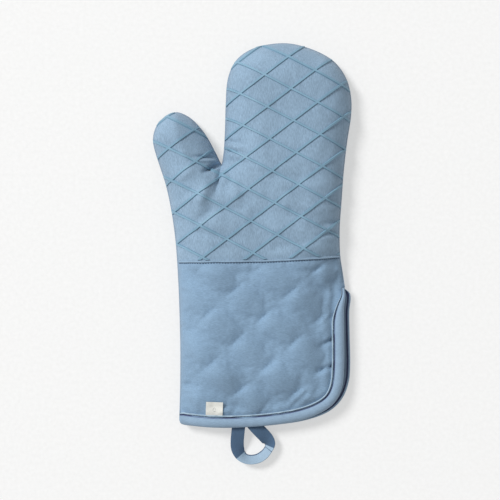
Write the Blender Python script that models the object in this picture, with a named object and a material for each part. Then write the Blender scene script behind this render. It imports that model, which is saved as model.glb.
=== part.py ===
"""A quilted oven mitt with a silicone grip lattice, lying on its back.

The frame is +Z up, +Y towards the fingertips and +X away from the thumb, with the origin under the
middle of the mitt on the surface that it lies on. All dimensions below are millimetres; the meshes
are made in metres.

The mitt is two quilted walls, front and back, sewn together round the hand. Each wall is an outer
cloth, a wadding and a lining, and each outer cloth carries a moulded lattice. Every layer is a slab
that follows one faceted surface, so neighbours keep the same clearance everywhere. The walls are
parted along the creases where the fingers, the thumb and the cuff's flap fold.
"""

import math

import bmesh
import bpy
import numpy as np
from mathutils import Matrix, Vector
from mathutils.geometry import delaunay_2d_cdt

MM = 0.001

# Wall build-up, from the table upwards
GAP = 0.3
LATTICE_THICK = 1.0
CLOTH_THICK = 0.8
WADDING_THICK = 4.0
LINING_THICK = 0.8
TAPE_THICK = 1.0
THREAD_THICK = 0.4
THREAD_WIDTH = 0.7

# The hollow for the hand
HAND_HOLLOW = 20.0
CUFF_HOLLOW = 15.0
MOUTH_HOLLOW = 8.0
MOUTH_REACH = 55.0
MOUTH_Y = -150.0
WRIST_Y = 0.0
CROWN_REACH = 34.0
CROWN_POWER = 2.2
CORNER_LIFT = 3.2
CORNER_REACH = 25.0

# Seams, creases and trims
BINDING_WIDTH = 10.5
BINDING_STITCH_INSET = 8.6
YOKE_STITCH_DROP = 1.6
FINGER_CREASE_Y = 92.0
CROTCH = (-26.4, 76.5)
THUMB_CREASE_ANGLE = math.radians(20.0)
THUMB_CREASE_LENGTH = 75.0
LABEL_SIZE = (14.6, 10.6)
LABEL_FOOT = (-32.6, -138.0)
LABEL_TURN = math.radians(-2.5)
LOOP_TAPE_WIDTH = 10.3

# How finely the front wall is faceted: rings in from its edge (inset, every so many points), then a grid
EDGE_RINGS = ((5.0, 2), (14.0, 3))
GRID_SPACING = 20.0
GRID_MARGIN = 23.0

# Lattice of rhombic cells
LATTICE_START = (30.5, 167.0)
LATTICE_STEP_DOWN_RIGHT = (22.3, -11.6)
LATTICE_STEP_DOWN_LEFT = (-20.2, -15.4)
LATTICE_BAR_WIDTH = 2.4
LATTICE_EDGE_INSET = 3.5
LATTICE_YOKE_INSET = 3.0
LATTICE_RANGE = range(-9, 16)

# The closed seam, from the slit's apex up the little-finger side, over the tips and down the thumb side
SEAM_POINTS = (
    (79.5, -29.0), (77.2, -14.0), (75.2, 0.0), (74.8, 22.0), (76.4, 45.0), (78.4, 72.0), (81.3, 97.0),
    (84.6, 119.0), (84.6, 135.0), (80.5, 151.0), (70.0, 165.5), (53.0, 175.2), (32.0, 180.8),
    (12.0, 179.6), (-3.5, 174.4), (-14.5, 165.0), (-20.6, 150.0), (-22.2, 130.0), (-22.9, 106.0),
    (-24.2, 86.0), CROTCH, (-31.5, 86.0), (-40.0, 101.5), (-50.0, 113.6), (-58.5, 119.6),
    (-66.5, 121.6), (-75.5, 117.6), (-82.5, 109.0), (-85.0, 98.0), (-82.6, 86.5), (-78.5, 74.0),
    (-73.6, 58.5), (-69.4, 39.0), (-66.0, 16.0), (-64.0, -8.0), (-62.4, -40.0), (-61.4, -80.0),
    (-61.6, -115.0), (-62.4, -143.6),
)
# The open edge of each wall, from the thumb side's foot along the hem and up the slit to its apex
FRONT_MOUTH_POINTS = (
    (-62.4, -143.6), (-53.0, -147.4), (-32.0, -149.0), (-8.0, -148.7), (18.0, -146.6), (42.0, -142.4),
    (60.0, -135.6), (71.5, -126.4), (77.4, -113.0), (79.0, -95.0), (79.0, -70.0), (78.8, -48.0),
    (80.2, -36.0), (79.5, -29.0),
)
BACK_MOUTH_POINTS = (
    (-62.4, -143.6), (-53.0, -147.0), (-32.0, -148.4), (-8.0, -148.0), (18.0, -146.0), (44.0, -142.2),
    (64.0, -135.2), (75.6, -124.8), (81.4, -111.0), (82.8, -95.0), (82.3, -70.0), (82.0, -50.0),
    (83.2, -37.0), (79.5, -29.0),
)
# The seam between the hand panel and the cuff panel
YOKE_POINTS = ((-70.0, -7.1), (-13.0, -6.4), (22.0, -5.6), (84.0, -2.0))

# The hanging loop's centre line, and at each point the tape's width direction
LOOP_ROUTE = (
    ((-11.8, -149.8, 14.6), (-1.0, 0.0, 0.0)),
    ((-12.4, -155.0, 11.8), (-1.0, 0.0, -0.02)),
    ((-12.9, -161.0, 8.4), (-1.0, 0.0, 0.02)),
    ((-12.7, -167.2, 5.6), (-0.97, -0.16, 0.2)),
    ((-10.6, -173.0, 4.9), (-0.66, -0.44, 0.6)),
    ((-7.0, -176.4, 5.0), (-0.3, -0.5, 0.81)),
    ((-1.6, -177.8, 5.0), (0.0, -0.52, 0.85)),
    ((5.0, -176.8, 5.0), (0.22, -0.48, 0.85)),
    ((10.6, -173.2, 5.0), (0.42, -0.34, 0.84)),
    ((14.2, -168.2, 5.1), (0.56, -0.06, 0.82)),
    ((14.6, -163.6, 6.1), (0.72, 0.4, 0.56)),
    ((12.4, -159.4, 8.2), (0.7, 0.66, 0.2)),
    ((9.2, -155.4, 11.2), (0.82, 0.5, 0.02)),
    ((6.0, -150.6, 14.6), (1.0, 0.06, 0.0)),
)
LOOP_SAMPLES_PER_SPAN = 3

COLORS = {
    "cloth": (0.235, 0.335, 0.455),
    "lattice": (0.215, 0.365, 0.455),
    "wadding": (0.86, 0.86, 0.84),
    "lining": (0.31, 0.40, 0.50),
    "binding": (0.26, 0.36, 0.48),
    "thread": (0.16, 0.24, 0.36),
    "loop": (0.21, 0.31, 0.43),
    "label": (0.80, 0.79, 0.74),
}
ROUGHNESS = {"lattice": 0.45}
CLOTH_ROUGHNESS = 0.9


# ---------------------------------------------------------------- plane curves

def smooth_curve(points, per_span):
    """Points on a Catmull-Rom curve through the given points, both ends included."""
    p = np.array(points, float)
    padded = np.vstack([2 * p[0] - p[1], p, 2 * p[-1] - p[-2]])
    made = []
    for i in range(len(p) - 1):
        a, b, c, d = padded[i : i + 4]
        for t in np.arange(per_span) / per_span:
            made.append(0.5 * (2 * b + (c - a) * t + (2 * a - 5 * b + 4 * c - d) * t**2
                               + (3 * b - a - 3 * c + d) * t**3))
    return np.array(made + [p[-1]])


def shifted(line, distance):
    """An open line moved sideways, to its left for a positive distance."""
    along = np.gradient(line, axis=0)
    along /= np.linalg.norm(along, axis=1)[:, None]
    return line + distance * np.column_stack([-along[:, 1], along[:, 0]])


def stretched(line, extra):
    """An open line with both ends run on by a given length."""
    first = line[0] - extra * (line[1] - line[0]) / np.linalg.norm(line[1] - line[0])
    last = line[-1] + extra * (line[-1] - line[-2]) / np.linalg.norm(line[-1] - line[-2])
    return np.vstack([first, line, last])


def inside(polygon, points):
    """Which points lie inside a closed polygon."""
    x, y = points[:, 0], points[:, 1]
    found = np.zeros(len(points), bool)
    for (ax, ay), (bx, by) in zip(polygon, np.roll(polygon, -1, axis=0)):
        crosses = (ay > y) != (by > y)
        if ay != by:
            found ^= crosses & (x < ax + (y - ay) * (bx - ax) / (by - ay))
    return found


def distance_to(line, points):
    """Distance from each point to an open line."""
    best = np.full(len(points), 1e9)
    for a, b in zip(line[:-1], line[1:]):
        span = b - a
        share = np.clip(((points - a) @ span) / max(span @ span, 1e-12), 0, 1)
        best = np.minimum(best, np.linalg.norm(points - a - share[:, None] * span, axis=1))
    return best


def side_of(start, direction, points):
    """Signed distance to the left of a straight line."""
    offset = points - np.array(start)
    return direction[0] * offset[:, 1] - direction[1] * offset[:, 0]


SEAM = smooth_curve(SEAM_POINTS, 2)
FRONT_MOUTH = smooth_curve(FRONT_MOUTH_POINTS, 2)
BACK_MOUTH = smooth_curve(BACK_MOUTH_POINTS, 2)
YOKE = smooth_curve(YOKE_POINTS, 3)
FRONT_OUTLINE = np.vstack([SEAM[:-1], FRONT_MOUTH[:-1]])
BACK_OUTLINE = np.vstack([SEAM[:-1], BACK_MOUTH[:-1]])

THUMB_ALONG = np.array([math.cos(THUMB_CREASE_ANGLE), math.sin(THUMB_CREASE_ANGLE)])
FLAP_START = np.array(SEAM_POINTS[-1])
FLAP_ALONG = np.array(SEAM_POINTS[0]) - FLAP_START
FLAP_ALONG /= np.linalg.norm(FLAP_ALONG)
BINDING_END = np.array([-0.94, -0.34])


# ---------------------------------------------------------------- faceted surfaces

class Surface:
    """A faceted height surface: plane points, the edges between them and a height at each."""

    def __init__(self, points, edges, heights):
        made = delaunay_2d_cdt([Vector(p) for p in points], edges, [], 0, 1e-5)
        self.points = np.array([tuple(v) for v in made[0]])
        self.triangles = np.array(made[2])
        self.edges = sorted({tuple(sorted((t[i], t[i - 1]))) for t in made[2] for i in range(3)})
        self.heights = heights(self.points)

    def height(self, points):
        """The surface's height above each point, read off its facets."""
        best = np.full(len(points), -1e9)
        value = np.zeros(len(points))
        for triangle in self.triangles:
            a, b, c = self.points[triangle]
            area = (b[0] - a[0]) * (c[1] - a[1]) - (c[0] - a[0]) * (b[1] - a[1])
            if abs(area) < 1e-9:
                continue
            v = ((points[:, 0] - a[0]) * (c[1] - a[1]) - (c[0] - a[0]) * (points[:, 1] - a[1])) / area
            w = ((b[0] - a[0]) * (points[:, 1] - a[1]) - (points[:, 0] - a[0]) * (b[1] - a[1])) / area
            depth = np.minimum(np.minimum(1 - v - w, v), w)
            za, zb, zc = self.heights[triangle]
            nearer = depth > best
            best = np.where(nearer, depth, best)
            value = np.where(nearer, za + v * (zb - za) + w * (zc - za), value)
        return value


def ring_edges(first, count):
    """Edges of a closed ring of consecutive points."""
    return [(first + i, first + (i + 1) % count) for i in range(count)]


BACK_TOP = LATTICE_THICK + CLOTH_THICK + WADDING_THICK + LINING_THICK + 3 * GAP
SEAM_Z = BACK_TOP + GAP


def eased(share):
    """Smooth step from 0 to 1."""
    share = np.clip(share, 0, 1)
    return share * share * (3 - 2 * share)


def hollow_height(points):
    """Height of the front lining's underside: a crown that dies away at the closed seam."""
    reach = np.clip(distance_to(SEAM, points) / CROWN_REACH, 0, 1)
    rise = eased((points[:, 1] - MOUTH_Y) / (WRIST_Y - MOUTH_Y))
    from_mouth = distance_to(FRONT_MOUTH, points)
    crown = CUFF_HOLLOW + (HAND_HOLLOW - CUFF_HOLLOW) * rise
    tall = MOUTH_HOLLOW + (crown - MOUTH_HOLLOW) * eased(from_mouth / MOUTH_REACH)
    lift = CORNER_LIFT * np.clip(2 - 2 * from_mouth / CORNER_REACH, 0, 1)
    return SEAM_Z + np.maximum(tall * (1 - (1 - reach) ** CROWN_POWER), lift)


def front_surface():
    """Facets for the whole front wall, finer towards its edge."""
    points = [tuple(p) for p in FRONT_OUTLINE]
    edges = ring_edges(0, len(points))
    closed = np.vstack([FRONT_OUTLINE, FRONT_OUTLINE[:1]])
    for inset, step in EDGE_RINGS:
        ring = shifted(closed, inset)[:-1:step]
        keep = inside(FRONT_OUTLINE, ring) & (distance_to(closed, ring) > inset * 0.93)
        points += [tuple(p) for p in ring[keep]]
    low, high = FRONT_OUTLINE.min(axis=0), FRONT_OUTLINE.max(axis=0)
    row_height = GRID_SPACING * math.sqrt(3) / 2
    grid = np.array([(x + (row % 2) * GRID_SPACING / 2, y)
                     for row, y in enumerate(np.arange(low[1], high[1], row_height))
                     for x in np.arange(low[0], high[0], GRID_SPACING)])
    keep = inside(FRONT_OUTLINE, grid) & (distance_to(closed, grid) > GRID_MARGIN)
    points += [tuple(p) for p in grid[keep]]
    return Surface(points, edges, hollow_height)


def flat_surface():
    """Two facets that cover the whole mitt at height zero."""
    half = 250.0
    corners = [(-half, -half), (half, -half), (half, half), (-half, half)]
    return Surface(corners, ring_edges(0, 4), lambda points: np.zeros(len(points)))


# ---------------------------------------------------------------- slabs on a surface

def cut_into_cells(surface, lines):
    """The surface's facets cut along plane lines: the points and the triangles."""
    points = [tuple(p) for p in surface.points]
    edges = list(surface.edges)
    for line in lines:
        first = len(points)
        points += [tuple(p) for p in line]
        edges += [(first + i, first + i + 1) for i in range(len(line) - 1)]
    made = delaunay_2d_cdt([Vector(p) for p in points], edges, [], 0, 1e-4)
    return np.array([tuple(v) for v in made[0]]), np.array(made[2])


def groups_along_edges(triangles, through=None):
    """Triangle numbers in groups joined along edges, the largest group first. With a point given,
    only edges that end at that point join."""
    parent = {i: i for i in triangles}

    def root(i):
        while parent[i] != i:
            i = parent[i]
        return i

    owner = {}
    for i, t in triangles.items():
        for k in range(3):
            edge = tuple(sorted((t[k], t[k - 1])))
            if through is not None and through not in edge:
                continue
            if edge in owner:
                parent[root(i)] = root(owner[edge])
            owner[edge] = i
    groups = {}
    for i in triangles:
        groups.setdefault(root(i), []).append(i)
    return sorted(groups.values(), key=len, reverse=True)


def one_sheet(triangles):
    """The triangles left when crumbs, and corners that touch only at a point, are trimmed off."""
    left = dict(triangles)
    while True:
        left = {i: left[i] for i in groups_along_edges(left)[0]}
        around = {}
        for i, t in left.items():
            for point in t:
                around.setdefault(point, {})[i] = t
        loose = set()
        for point, fan in around.items():
            for group in groups_along_edges(fan, point)[1:]:
                loose.update(group)
        if not loose:
            return left
        left = {i: t for i, t in left.items() if i not in loose}


def layered_mesh(name, surface, lines, levels, spans):
    """One closed mesh made of slabs. levels are heights above the surface, lowest first, each a number
    or an absolute height as ("z", number); spans(centres) gives for each facet the (low, high) level
    indices that it fills, so a slab can step, and a strip can wrap round an edge."""
    points, triangles = cut_into_cells(surface, lines)
    centres = points[triangles].mean(axis=1)
    filled = spans(centres)
    used = one_sheet({i: tuple(int(v) for v in triangles[i]) for i, f in enumerate(filled) if f})
    ground = surface.height(points)

    mesh = bmesh.new()
    corners = {}

    def corner(point, level):
        key = (point, level)
        if key not in corners:
            stated = levels[level]
            z = stated[1] if isinstance(stated, tuple) else ground[point] + stated
            corners[key] = mesh.verts.new((points[point][0] * MM, points[point][1] * MM, z * MM))
        return corners[key]

    walls = {}
    for i in used:
        a, b, c = used[i]
        for low, high in filled[i]:
            mesh.faces.new((corner(a, high), corner(b, high), corner(c, high)))
            mesh.faces.new((corner(c, low), corner(b, low), corner(a, low)))
            for start, end in ((a, b), (b, c), (c, a)):
                for step in range(low, high):
                    walls.setdefault((min(start, end), max(start, end), step), []).append((start, end))
    for (_, _, step), users in walls.items():
        if len(users) == 1:
            start, end = users[0]
            mesh.faces.new((corner(start, step), corner(end, step), corner(end, step + 1),
                            corner(start, step + 1)))
    data = bpy.data.meshes.new(name)
    mesh.to_mesh(data)
    mesh.free()
    return data


# ---------------------------------------------------------------- objects and materials

def material(kind):
    found = bpy.data.materials.get(kind)
    if found:
        return found
    made = bpy.data.materials.new(kind)
    made.use_nodes = True
    shader = made.node_tree.nodes["Principled BSDF"]
    shader.inputs["Base Color"].default_value = (*COLORS[kind], 1.0)
    shader.inputs["Roughness"].default_value = ROUGHNESS.get(kind, CLOTH_ROUGHNESS)
    shader.inputs["Metallic"].default_value = 0.0
    return made


def body_empty(name, pivot):
    """An empty at a joint's axis, which carries the pieces that move with it."""
    empty = bpy.data.objects.new(name, None)
    empty.location = Vector(pivot) * MM
    bpy.context.scene.collection.objects.link(empty)
    return empty


def place(name, data, kind, parent=None):
    """Links a mesh made in the mitt's frame, with its origin on its parent's axis."""
    data.materials.append(material(kind))
    made = bpy.data.objects.new(name, data)
    bpy.context.scene.collection.objects.link(made)
    if parent:
        data.transform(Matrix.Translation(-parent.location))
        made.parent = parent
    return made


# ---------------------------------------------------------------- where each piece ends

def anywhere(p):
    return np.ones(len(p), bool)


def in_fingers(p):
    return (p[:, 1] > FINGER_CREASE_Y + GAP / 2) & (p[:, 0] > CROTCH[0])


def in_thumb(p):
    return (side_of(CROTCH, THUMB_ALONG, p) > GAP / 2) & (p[:, 0] < CROTCH[0] - GAP / 2)


def in_flap(p):
    return side_of(FLAP_START, FLAP_ALONG, p) < -GAP / 2


def below_apex(p):
    """On the open edge's side of the cut at the slit's apex."""
    return side_of(SEAM_POINTS[0], BINDING_END, p) > 0


def in_rest(p):
    """Neither the fingers nor the thumb."""
    below_fingers = p[:, 1] < FINGER_CREASE_Y - GAP / 2
    behind_crease = side_of(CROTCH, THUMB_ALONG, p) < -GAP / 2
    return below_fingers & (behind_crease | (p[:, 0] > CROTCH[0] + GAP / 2))


def above_yoke(p, margin):
    return p[:, 1] > np.interp(p[:, 0], YOKE[:, 0], YOKE[:, 1]) + margin


def crease_lines(with_flap):
    """Both lips of every crease."""
    lines = []
    for half in (-GAP / 2, GAP / 2):
        lines.append(np.array([(CROTCH[0], FINGER_CREASE_Y + half), (110.0, FINGER_CREASE_Y + half)]))
        lines.append(np.array([(CROTCH[0] + half, CROTCH[1] - 6), (CROTCH[0] + half, FINGER_CREASE_Y)]))
        across = half * np.array([-THUMB_ALONG[1], THUMB_ALONG[0]])
        ends = [np.array(CROTCH) + t * THUMB_ALONG + across for t in (-THUMB_CREASE_LENGTH, 2.0)]
        lines.append(np.array(ends))
        if with_flap:
            across = half * np.array([-FLAP_ALONG[1], FLAP_ALONG[0]])
            lines.append(np.array([FLAP_START + t * FLAP_ALONG + across for t in (-20.0, 210.0)]))
    return lines


def yoke_lines(offsets):
    return [shifted(YOKE, d) for d in offsets]


class Wall:
    """One wall of the mitt: its surface, its outline and the height of each of its layers."""

    def __init__(self, name, surface, mouth, layers, seam_level):
        self.name = name
        self.surface = surface
        self.mouth = mouth
        self.layers = layers
        self.seam_level = seam_level
        self.outline = np.vstack([SEAM[:-1], mouth[:-1]])
        self.mouth_cut = stretched(shifted(mouth, TAPE_THICK + GAP), 8)
        self.skirt_line = stretched(shifted(SEAM, CLOTH_THICK), 8)
        self.inner_line = stretched(shifted(SEAM, CLOTH_THICK + GAP), 8)
        self.outline_line = np.vstack([self.outline, self.outline[:1]])

    def covered(self, p, seam_inset=0.0, mouth_inset=None):
        """Inside the outline, at least so far from the seam and from the open edge."""
        if mouth_inset is None:
            mouth_inset = TAPE_THICK + GAP
        clear = inside(self.outline, p) & (distance_to(self.mouth, p) > mouth_inset)
        return clear & (distance_to(SEAM, p) > seam_inset)


def layer_piece(wall, layer, within, extra_lines=()):
    """A wadding or lining: a plain slab inside the cloth."""
    inset = CLOTH_THICK + GAP
    lines = [wall.outline_line, wall.mouth_cut, wall.inner_line, *extra_lines]

    def spans(centres):
        inner = wall.covered(centres, inset * 0.97) & within(centres)
        return [[(0, 1)] if keep else [] for keep in inner]

    name = f"{wall.name}_{layer}"
    return layered_mesh(name, wall.surface, lines, wall.layers[layer], spans)


def cloth_piece(wall, within, extra_lines=()):
    """An outer cloth, which turns down (or up) round the wall's edge to the seam."""
    lines = [wall.outline_line, wall.mouth_cut, wall.skirt_line, *extra_lines]
    low, high = wall.layers["cloth"]
    seam = ("z", wall.seam_level)
    hem = (0, 2)
    if wall.name == "front":
        levels, face = [seam, low, high], (1, 2)
    else:
        levels, face = [low, high, seam], (0, 1)

    def spans(centres):
        covered = wall.covered(centres) & within(centres)
        skirt = distance_to(SEAM, centres) < CLOTH_THICK * 0.97
        return [[hem if s else face] if c else [] for c, s in zip(covered, skirt)]

    return layered_mesh(f"{wall.name}_cloth", wall.surface, lines, levels, spans)


# ---------------------------------------------------------------- the lattice

def lattice_frame():
    """The lattice's origin, its two steps, and half a bar as a share of a step."""
    down_right = np.array(LATTICE_STEP_DOWN_RIGHT)
    down_left = np.array(LATTICE_STEP_DOWN_LEFT)
    between = abs(down_right[0] * down_left[1] - down_right[1] * down_left[0])
    spacing = between / np.linalg.norm(down_right)
    return np.array(LATTICE_START), down_right, down_left, LATTICE_BAR_WIDTH / 2 / spacing


def lattice_lines():
    """The four sides of every hole in the lattice."""
    start, u, v, half = lattice_frame()
    lines = []
    for i in LATTICE_RANGE:
        for j in LATTICE_RANGE:
            corners = [(half, half), (1 - half, half), (1 - half, 1 - half), (half, 1 - half), (half, half)]
            hole = np.array([start + (i + a) * u + (j + b) * v for a, b in corners])
            if distance_to(SEAM, hole).min() < 30 or inside(FRONT_OUTLINE, hole).any():
                lines.append(hole)
    return lines


def on_bar(p):
    start, u, v, half = lattice_frame()
    share = (p - start) @ np.linalg.inv(np.array([u, v]))
    nearest = np.abs(share - np.round(share))
    return nearest.min(axis=1) < half


def lattice_piece(wall, within):
    edge = stretched(shifted(SEAM, LATTICE_EDGE_INSET), 5)
    foot = yoke_lines([LATTICE_YOKE_INSET])
    lines = [wall.outline_line, edge, *foot, *crease_lines(False), *lattice_lines()]

    def spans(centres):
        keep = within(centres) & on_bar(centres) & above_yoke(centres, LATTICE_YOKE_INSET)
        keep &= wall.covered(centres, LATTICE_EDGE_INSET * 0.97)
        return [[(0, 1)] if k else [] for k in keep]

    return layered_mesh(f"{wall.name}_lattice", wall.surface, lines, wall.layers["lattice"], spans)


# ---------------------------------------------------------------- trims

def binding_piece(wall, within):
    """A tape folded round the wall's open edge: a leg above, a leg below and a web between them."""
    low = wall.layers["lining" if wall.name == "front" else "cloth"][0]
    high = wall.layers["cloth" if wall.name == "front" else "lining"][1]
    levels = [low - GAP - TAPE_THICK, low - GAP, high + GAP, high + GAP + TAPE_THICK]
    web_line = stretched(shifted(wall.mouth, TAPE_THICK), 8)
    leg_line = stretched(shifted(wall.mouth, BINDING_WIDTH), 8)
    seam_line = stretched(shifted(SEAM, CLOTH_THICK + GAP), 8)
    apex = np.array(SEAM_POINTS[0])
    end_line = np.array([apex - 3 * BINDING_END, apex + 20 * BINDING_END])
    lines = [wall.outline_line, web_line, leg_line, seam_line, end_line, *crease_lines(True)]

    def spans(centres):
        away = distance_to(wall.mouth, centres)
        keep = inside(wall.outline, centres) & (away < BINDING_WIDTH) & within(centres)
        clear_of_seam = distance_to(SEAM, centres) > (CLOTH_THICK + GAP) * 0.97
        made = []
        for inner, web, clear in zip(keep, away < TAPE_THICK, clear_of_seam):
            if not inner or not clear:
                made.append([])
            elif web:
                made.append([(0, 3)])
            else:
                made.append([(0, 1), (2, 3)])
        return made

    return layered_mesh(f"{wall.name}_binding", wall.surface, lines, levels, spans)


def thread_piece(name, wall, line, low, within):
    """A line of stitching as one thin strip."""
    lines = [wall.outline_line, shifted(line, THREAD_WIDTH / 2), shifted(line, -THREAD_WIDTH / 2)]

    def spans(centres):
        keep = (distance_to(line, centres) < THREAD_WIDTH / 2) & within(centres)
        keep &= inside(wall.outline, centres) & (distance_to(SEAM, centres) > LATTICE_EDGE_INSET)
        return [[(0, 1)] if k else [] for k in keep]

    inset_line = stretched(shifted(SEAM, LATTICE_EDGE_INSET), 5)
    apex = np.array(SEAM_POINTS[0])
    end_line = np.array([apex, apex + 20 * BINDING_END])
    return layered_mesh(name, wall.surface, [*lines, inset_line, end_line, *crease_lines(True)],
                        [low, low + THREAD_THICK], spans)


def label_piece(wall):
    """The folded tab that stands in the hem binding's seam."""
    across = np.array([math.cos(LABEL_TURN), math.sin(LABEL_TURN)])
    up = np.array([-across[1], across[0]])
    foot = np.array(LABEL_FOOT)
    width, height = LABEL_SIZE
    corners = np.array([foot + a * width / 2 * across + b * height * up
                        for a, b in ((-1, 0), (1, 0), (1, 1), (-1, 1), (-1, 0))])
    low = wall.layers["cloth"][1] + GAP

    def spans(centres):
        return [[(0, 1)] if k else [] for k in inside(corners[:-1], centres)]

    return layered_mesh("label", wall.surface, [corners], [low, low + TAPE_THICK], spans)


def loop_piece():
    """The hanging loop: a flat tape swept along its route, turning on edge at its far end."""
    route = smooth_curve([p for p, _ in LOOP_ROUTE], LOOP_SAMPLES_PER_SPAN)
    widths = smooth_curve([w for _, w in LOOP_ROUTE], LOOP_SAMPLES_PER_SPAN)
    along = np.gradient(route, axis=0)
    mesh = bmesh.new()
    rings = []
    for centre, width, tangent in zip(route, widths, along):
        forward = Vector(tangent).normalized()
        sideways = Vector(width)
        sideways = (sideways - forward * sideways.dot(forward)).normalized()
        up = forward.cross(sideways)
        half_width = sideways * LOOP_TAPE_WIDTH / 2
        half_thick = up * TAPE_THICK / 2
        corners = (half_width + half_thick, half_thick - half_width,
                   -half_width - half_thick, half_width - half_thick)
        rings.append([mesh.verts.new((Vector(centre) + c) * MM) for c in corners])
    for near, far in zip(rings[:-1], rings[1:]):
        for k in range(4):
            mesh.faces.new((near[k], near[k - 1], far[k - 1], far[k]))
    mesh.faces.new(rings[0])
    mesh.faces.new(rings[-1][::-1])
    bmesh.ops.recalc_face_normals(mesh, faces=mesh.faces)
    data = bpy.data.meshes.new("hanging_loop")
    mesh.to_mesh(data)
    mesh.free()
    return data


# ---------------------------------------------------------------- the mitt

def stacked(lowest, thicknesses):
    """Low and high of each layer in a stack with a gap under each."""
    levels, low = [], lowest
    for thick in thicknesses:
        levels.append((low, low + thick))
        low += thick + GAP
    return levels


def back_wall():
    names = ("lattice", "cloth", "wadding", "lining")
    thick = (LATTICE_THICK, CLOTH_THICK, WADDING_THICK, LINING_THICK)
    layers = dict(zip(names, stacked(0.0, thick)))
    return Wall("back", flat_surface(), BACK_MOUTH, layers, BACK_TOP)


def front_wall():
    names = ("lining", "wadding", "cloth", "lattice")
    thick = (LINING_THICK, WADDING_THICK, CLOTH_THICK, LATTICE_THICK)
    layers = dict(zip(names, stacked(0.0, thick)))
    return Wall("front", front_surface(), FRONT_MOUTH, layers, SEAM_Z)


def crest(wall, points):
    """The height of a wall's lattice over the highest of some plane points."""
    return wall.surface.height(np.array(points)).max() + wall.layers["lattice"][1]


def build():
    front, back = front_wall(), back_wall()
    finger_line = [(x, FINGER_CREASE_Y) for x in np.linspace(-22, 80, 40)]
    thumb_line = [np.array(CROTCH) - t * THUMB_ALONG for t in np.linspace(1, 50, 30)]
    flap_line = [FLAP_START + t * FLAP_ALONG for t in np.linspace(1, 180, 60)]
    fingers = body_empty("fingers_axis", (30.0, FINGER_CREASE_Y, crest(front, finger_line) + GAP))
    thumb = body_empty("thumb_axis", (*CROTCH, crest(front, thumb_line) + GAP))
    flap = body_empty("flap_axis", (*FLAP_START, crest(front, flap_line) + GAP))
    loop_end = LOOP_ROUTE[0][0]
    loop_middle = (LOOP_ROUTE[0][0][0] + LOOP_ROUTE[-1][0][0]) / 2
    loop = body_empty("loop_axis", (loop_middle, loop_end[1], loop_end[2]))
    foot = np.array([LABEL_FOOT])
    label_top = front.surface.height(foot)[0] + front.layers["cloth"][1] + TAPE_THICK + 2 * GAP
    label = body_empty("label_axis", (*LABEL_FOOT, label_top + GAP))

    moving = (("fingers", in_fingers, fingers), ("thumb", in_thumb, thumb))
    for wall in (front, back):
        folds = crease_lines(wall is front)
        regions = list(moving)
        if wall is front:
            regions.append(("palm", lambda p: in_rest(p) & ~in_flap(p)
                            & (side_of(FLAP_START, FLAP_ALONG, p) > GAP / 2), None))
            regions.append(("flap", in_flap, flap))
        else:
            regions.append(("palm", in_rest, None))
        for layer in ("wadding", "lining"):
            for region, within, parent in regions:
                place(f"{wall.name}_{layer}_{region}", layer_piece(wall, layer, within, folds), layer, parent)
        cloth_lines = [*folds, *yoke_lines([-GAP / 2, GAP / 2])]
        for region, within, parent in regions:
            name = f"{wall.name}_cloth_{region}"
            if region == "palm":
                hand = lambda p, w=within: w(p) & above_yoke(p, GAP / 2)
                cuff = lambda p, w=within: w(p) & ~above_yoke(p, -GAP / 2)
                place(name, cloth_piece(wall, hand, cloth_lines), "cloth")
                place(f"{wall.name}_cloth_cuff", cloth_piece(wall, cuff, cloth_lines), "cloth")
            else:
                place(name, cloth_piece(wall, within, cloth_lines), "cloth", parent)
        for region, within, parent in (*moving, ("palm", in_rest, None)):
            place(f"{wall.name}_lattice_{region}", lattice_piece(wall, within), "lattice", parent)

    place("front_binding", binding_piece(front, in_flap), "binding", flap)
    place("back_binding", binding_piece(back, below_apex), "binding")
    hem = shifted(FRONT_MOUTH, BINDING_STITCH_INSET)
    top = front.layers["cloth"][1] + 2 * GAP + TAPE_THICK
    row = thread_piece("front_binding_thread", front, hem, top, in_flap)
    place("front_binding_thread", row, "thread", flap)
    hem = shifted(BACK_MOUTH, BINDING_STITCH_INSET)
    top = back.layers["lining"][1] + 2 * GAP + TAPE_THICK
    row = thread_piece("back_binding_thread", back, hem, top, below_apex)
    place("back_binding_thread", row, "thread")
    yoke = shifted(YOKE, -YOKE_STITCH_DROP)
    top = front.layers["cloth"][1] + GAP
    row = thread_piece("front_yoke_thread", front, yoke, top, anywhere)
    place("front_yoke_thread", row, "thread")
    under = back.layers["cloth"][0] - GAP - THREAD_THICK
    row = thread_piece("back_yoke_thread", back, yoke, under, anywhere)
    place("back_yoke_thread", row, "thread")
    place("label", label_piece(front), "label", label)
    place("hanging_loop", loop_piece(), "loop", loop)


def main():
    for old in list(bpy.data.objects):
        bpy.data.objects.remove(old)
    build()


main()
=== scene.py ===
"""The looks of a quilted oven mitt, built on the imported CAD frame.

Lengths inside this script are millimetres until a mesh is made. Each wall's outer cloth is one fine
sheet over the plan of the mitt. Its heights come from a padded profile, quilting, tucks and, on the
front of the cuff, a cloth simulation. The lattice, welt, label and yoke stitches are laid on that
finished sheet. The binding, the loop and the seam rolls have shapes of their own.
"""

import math

import bmesh
import bpy
import numpy as np
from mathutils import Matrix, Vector
from mathutils.bvhtree import BVHTree
from mathutils.geometry import delaunay_2d_cdt


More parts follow.
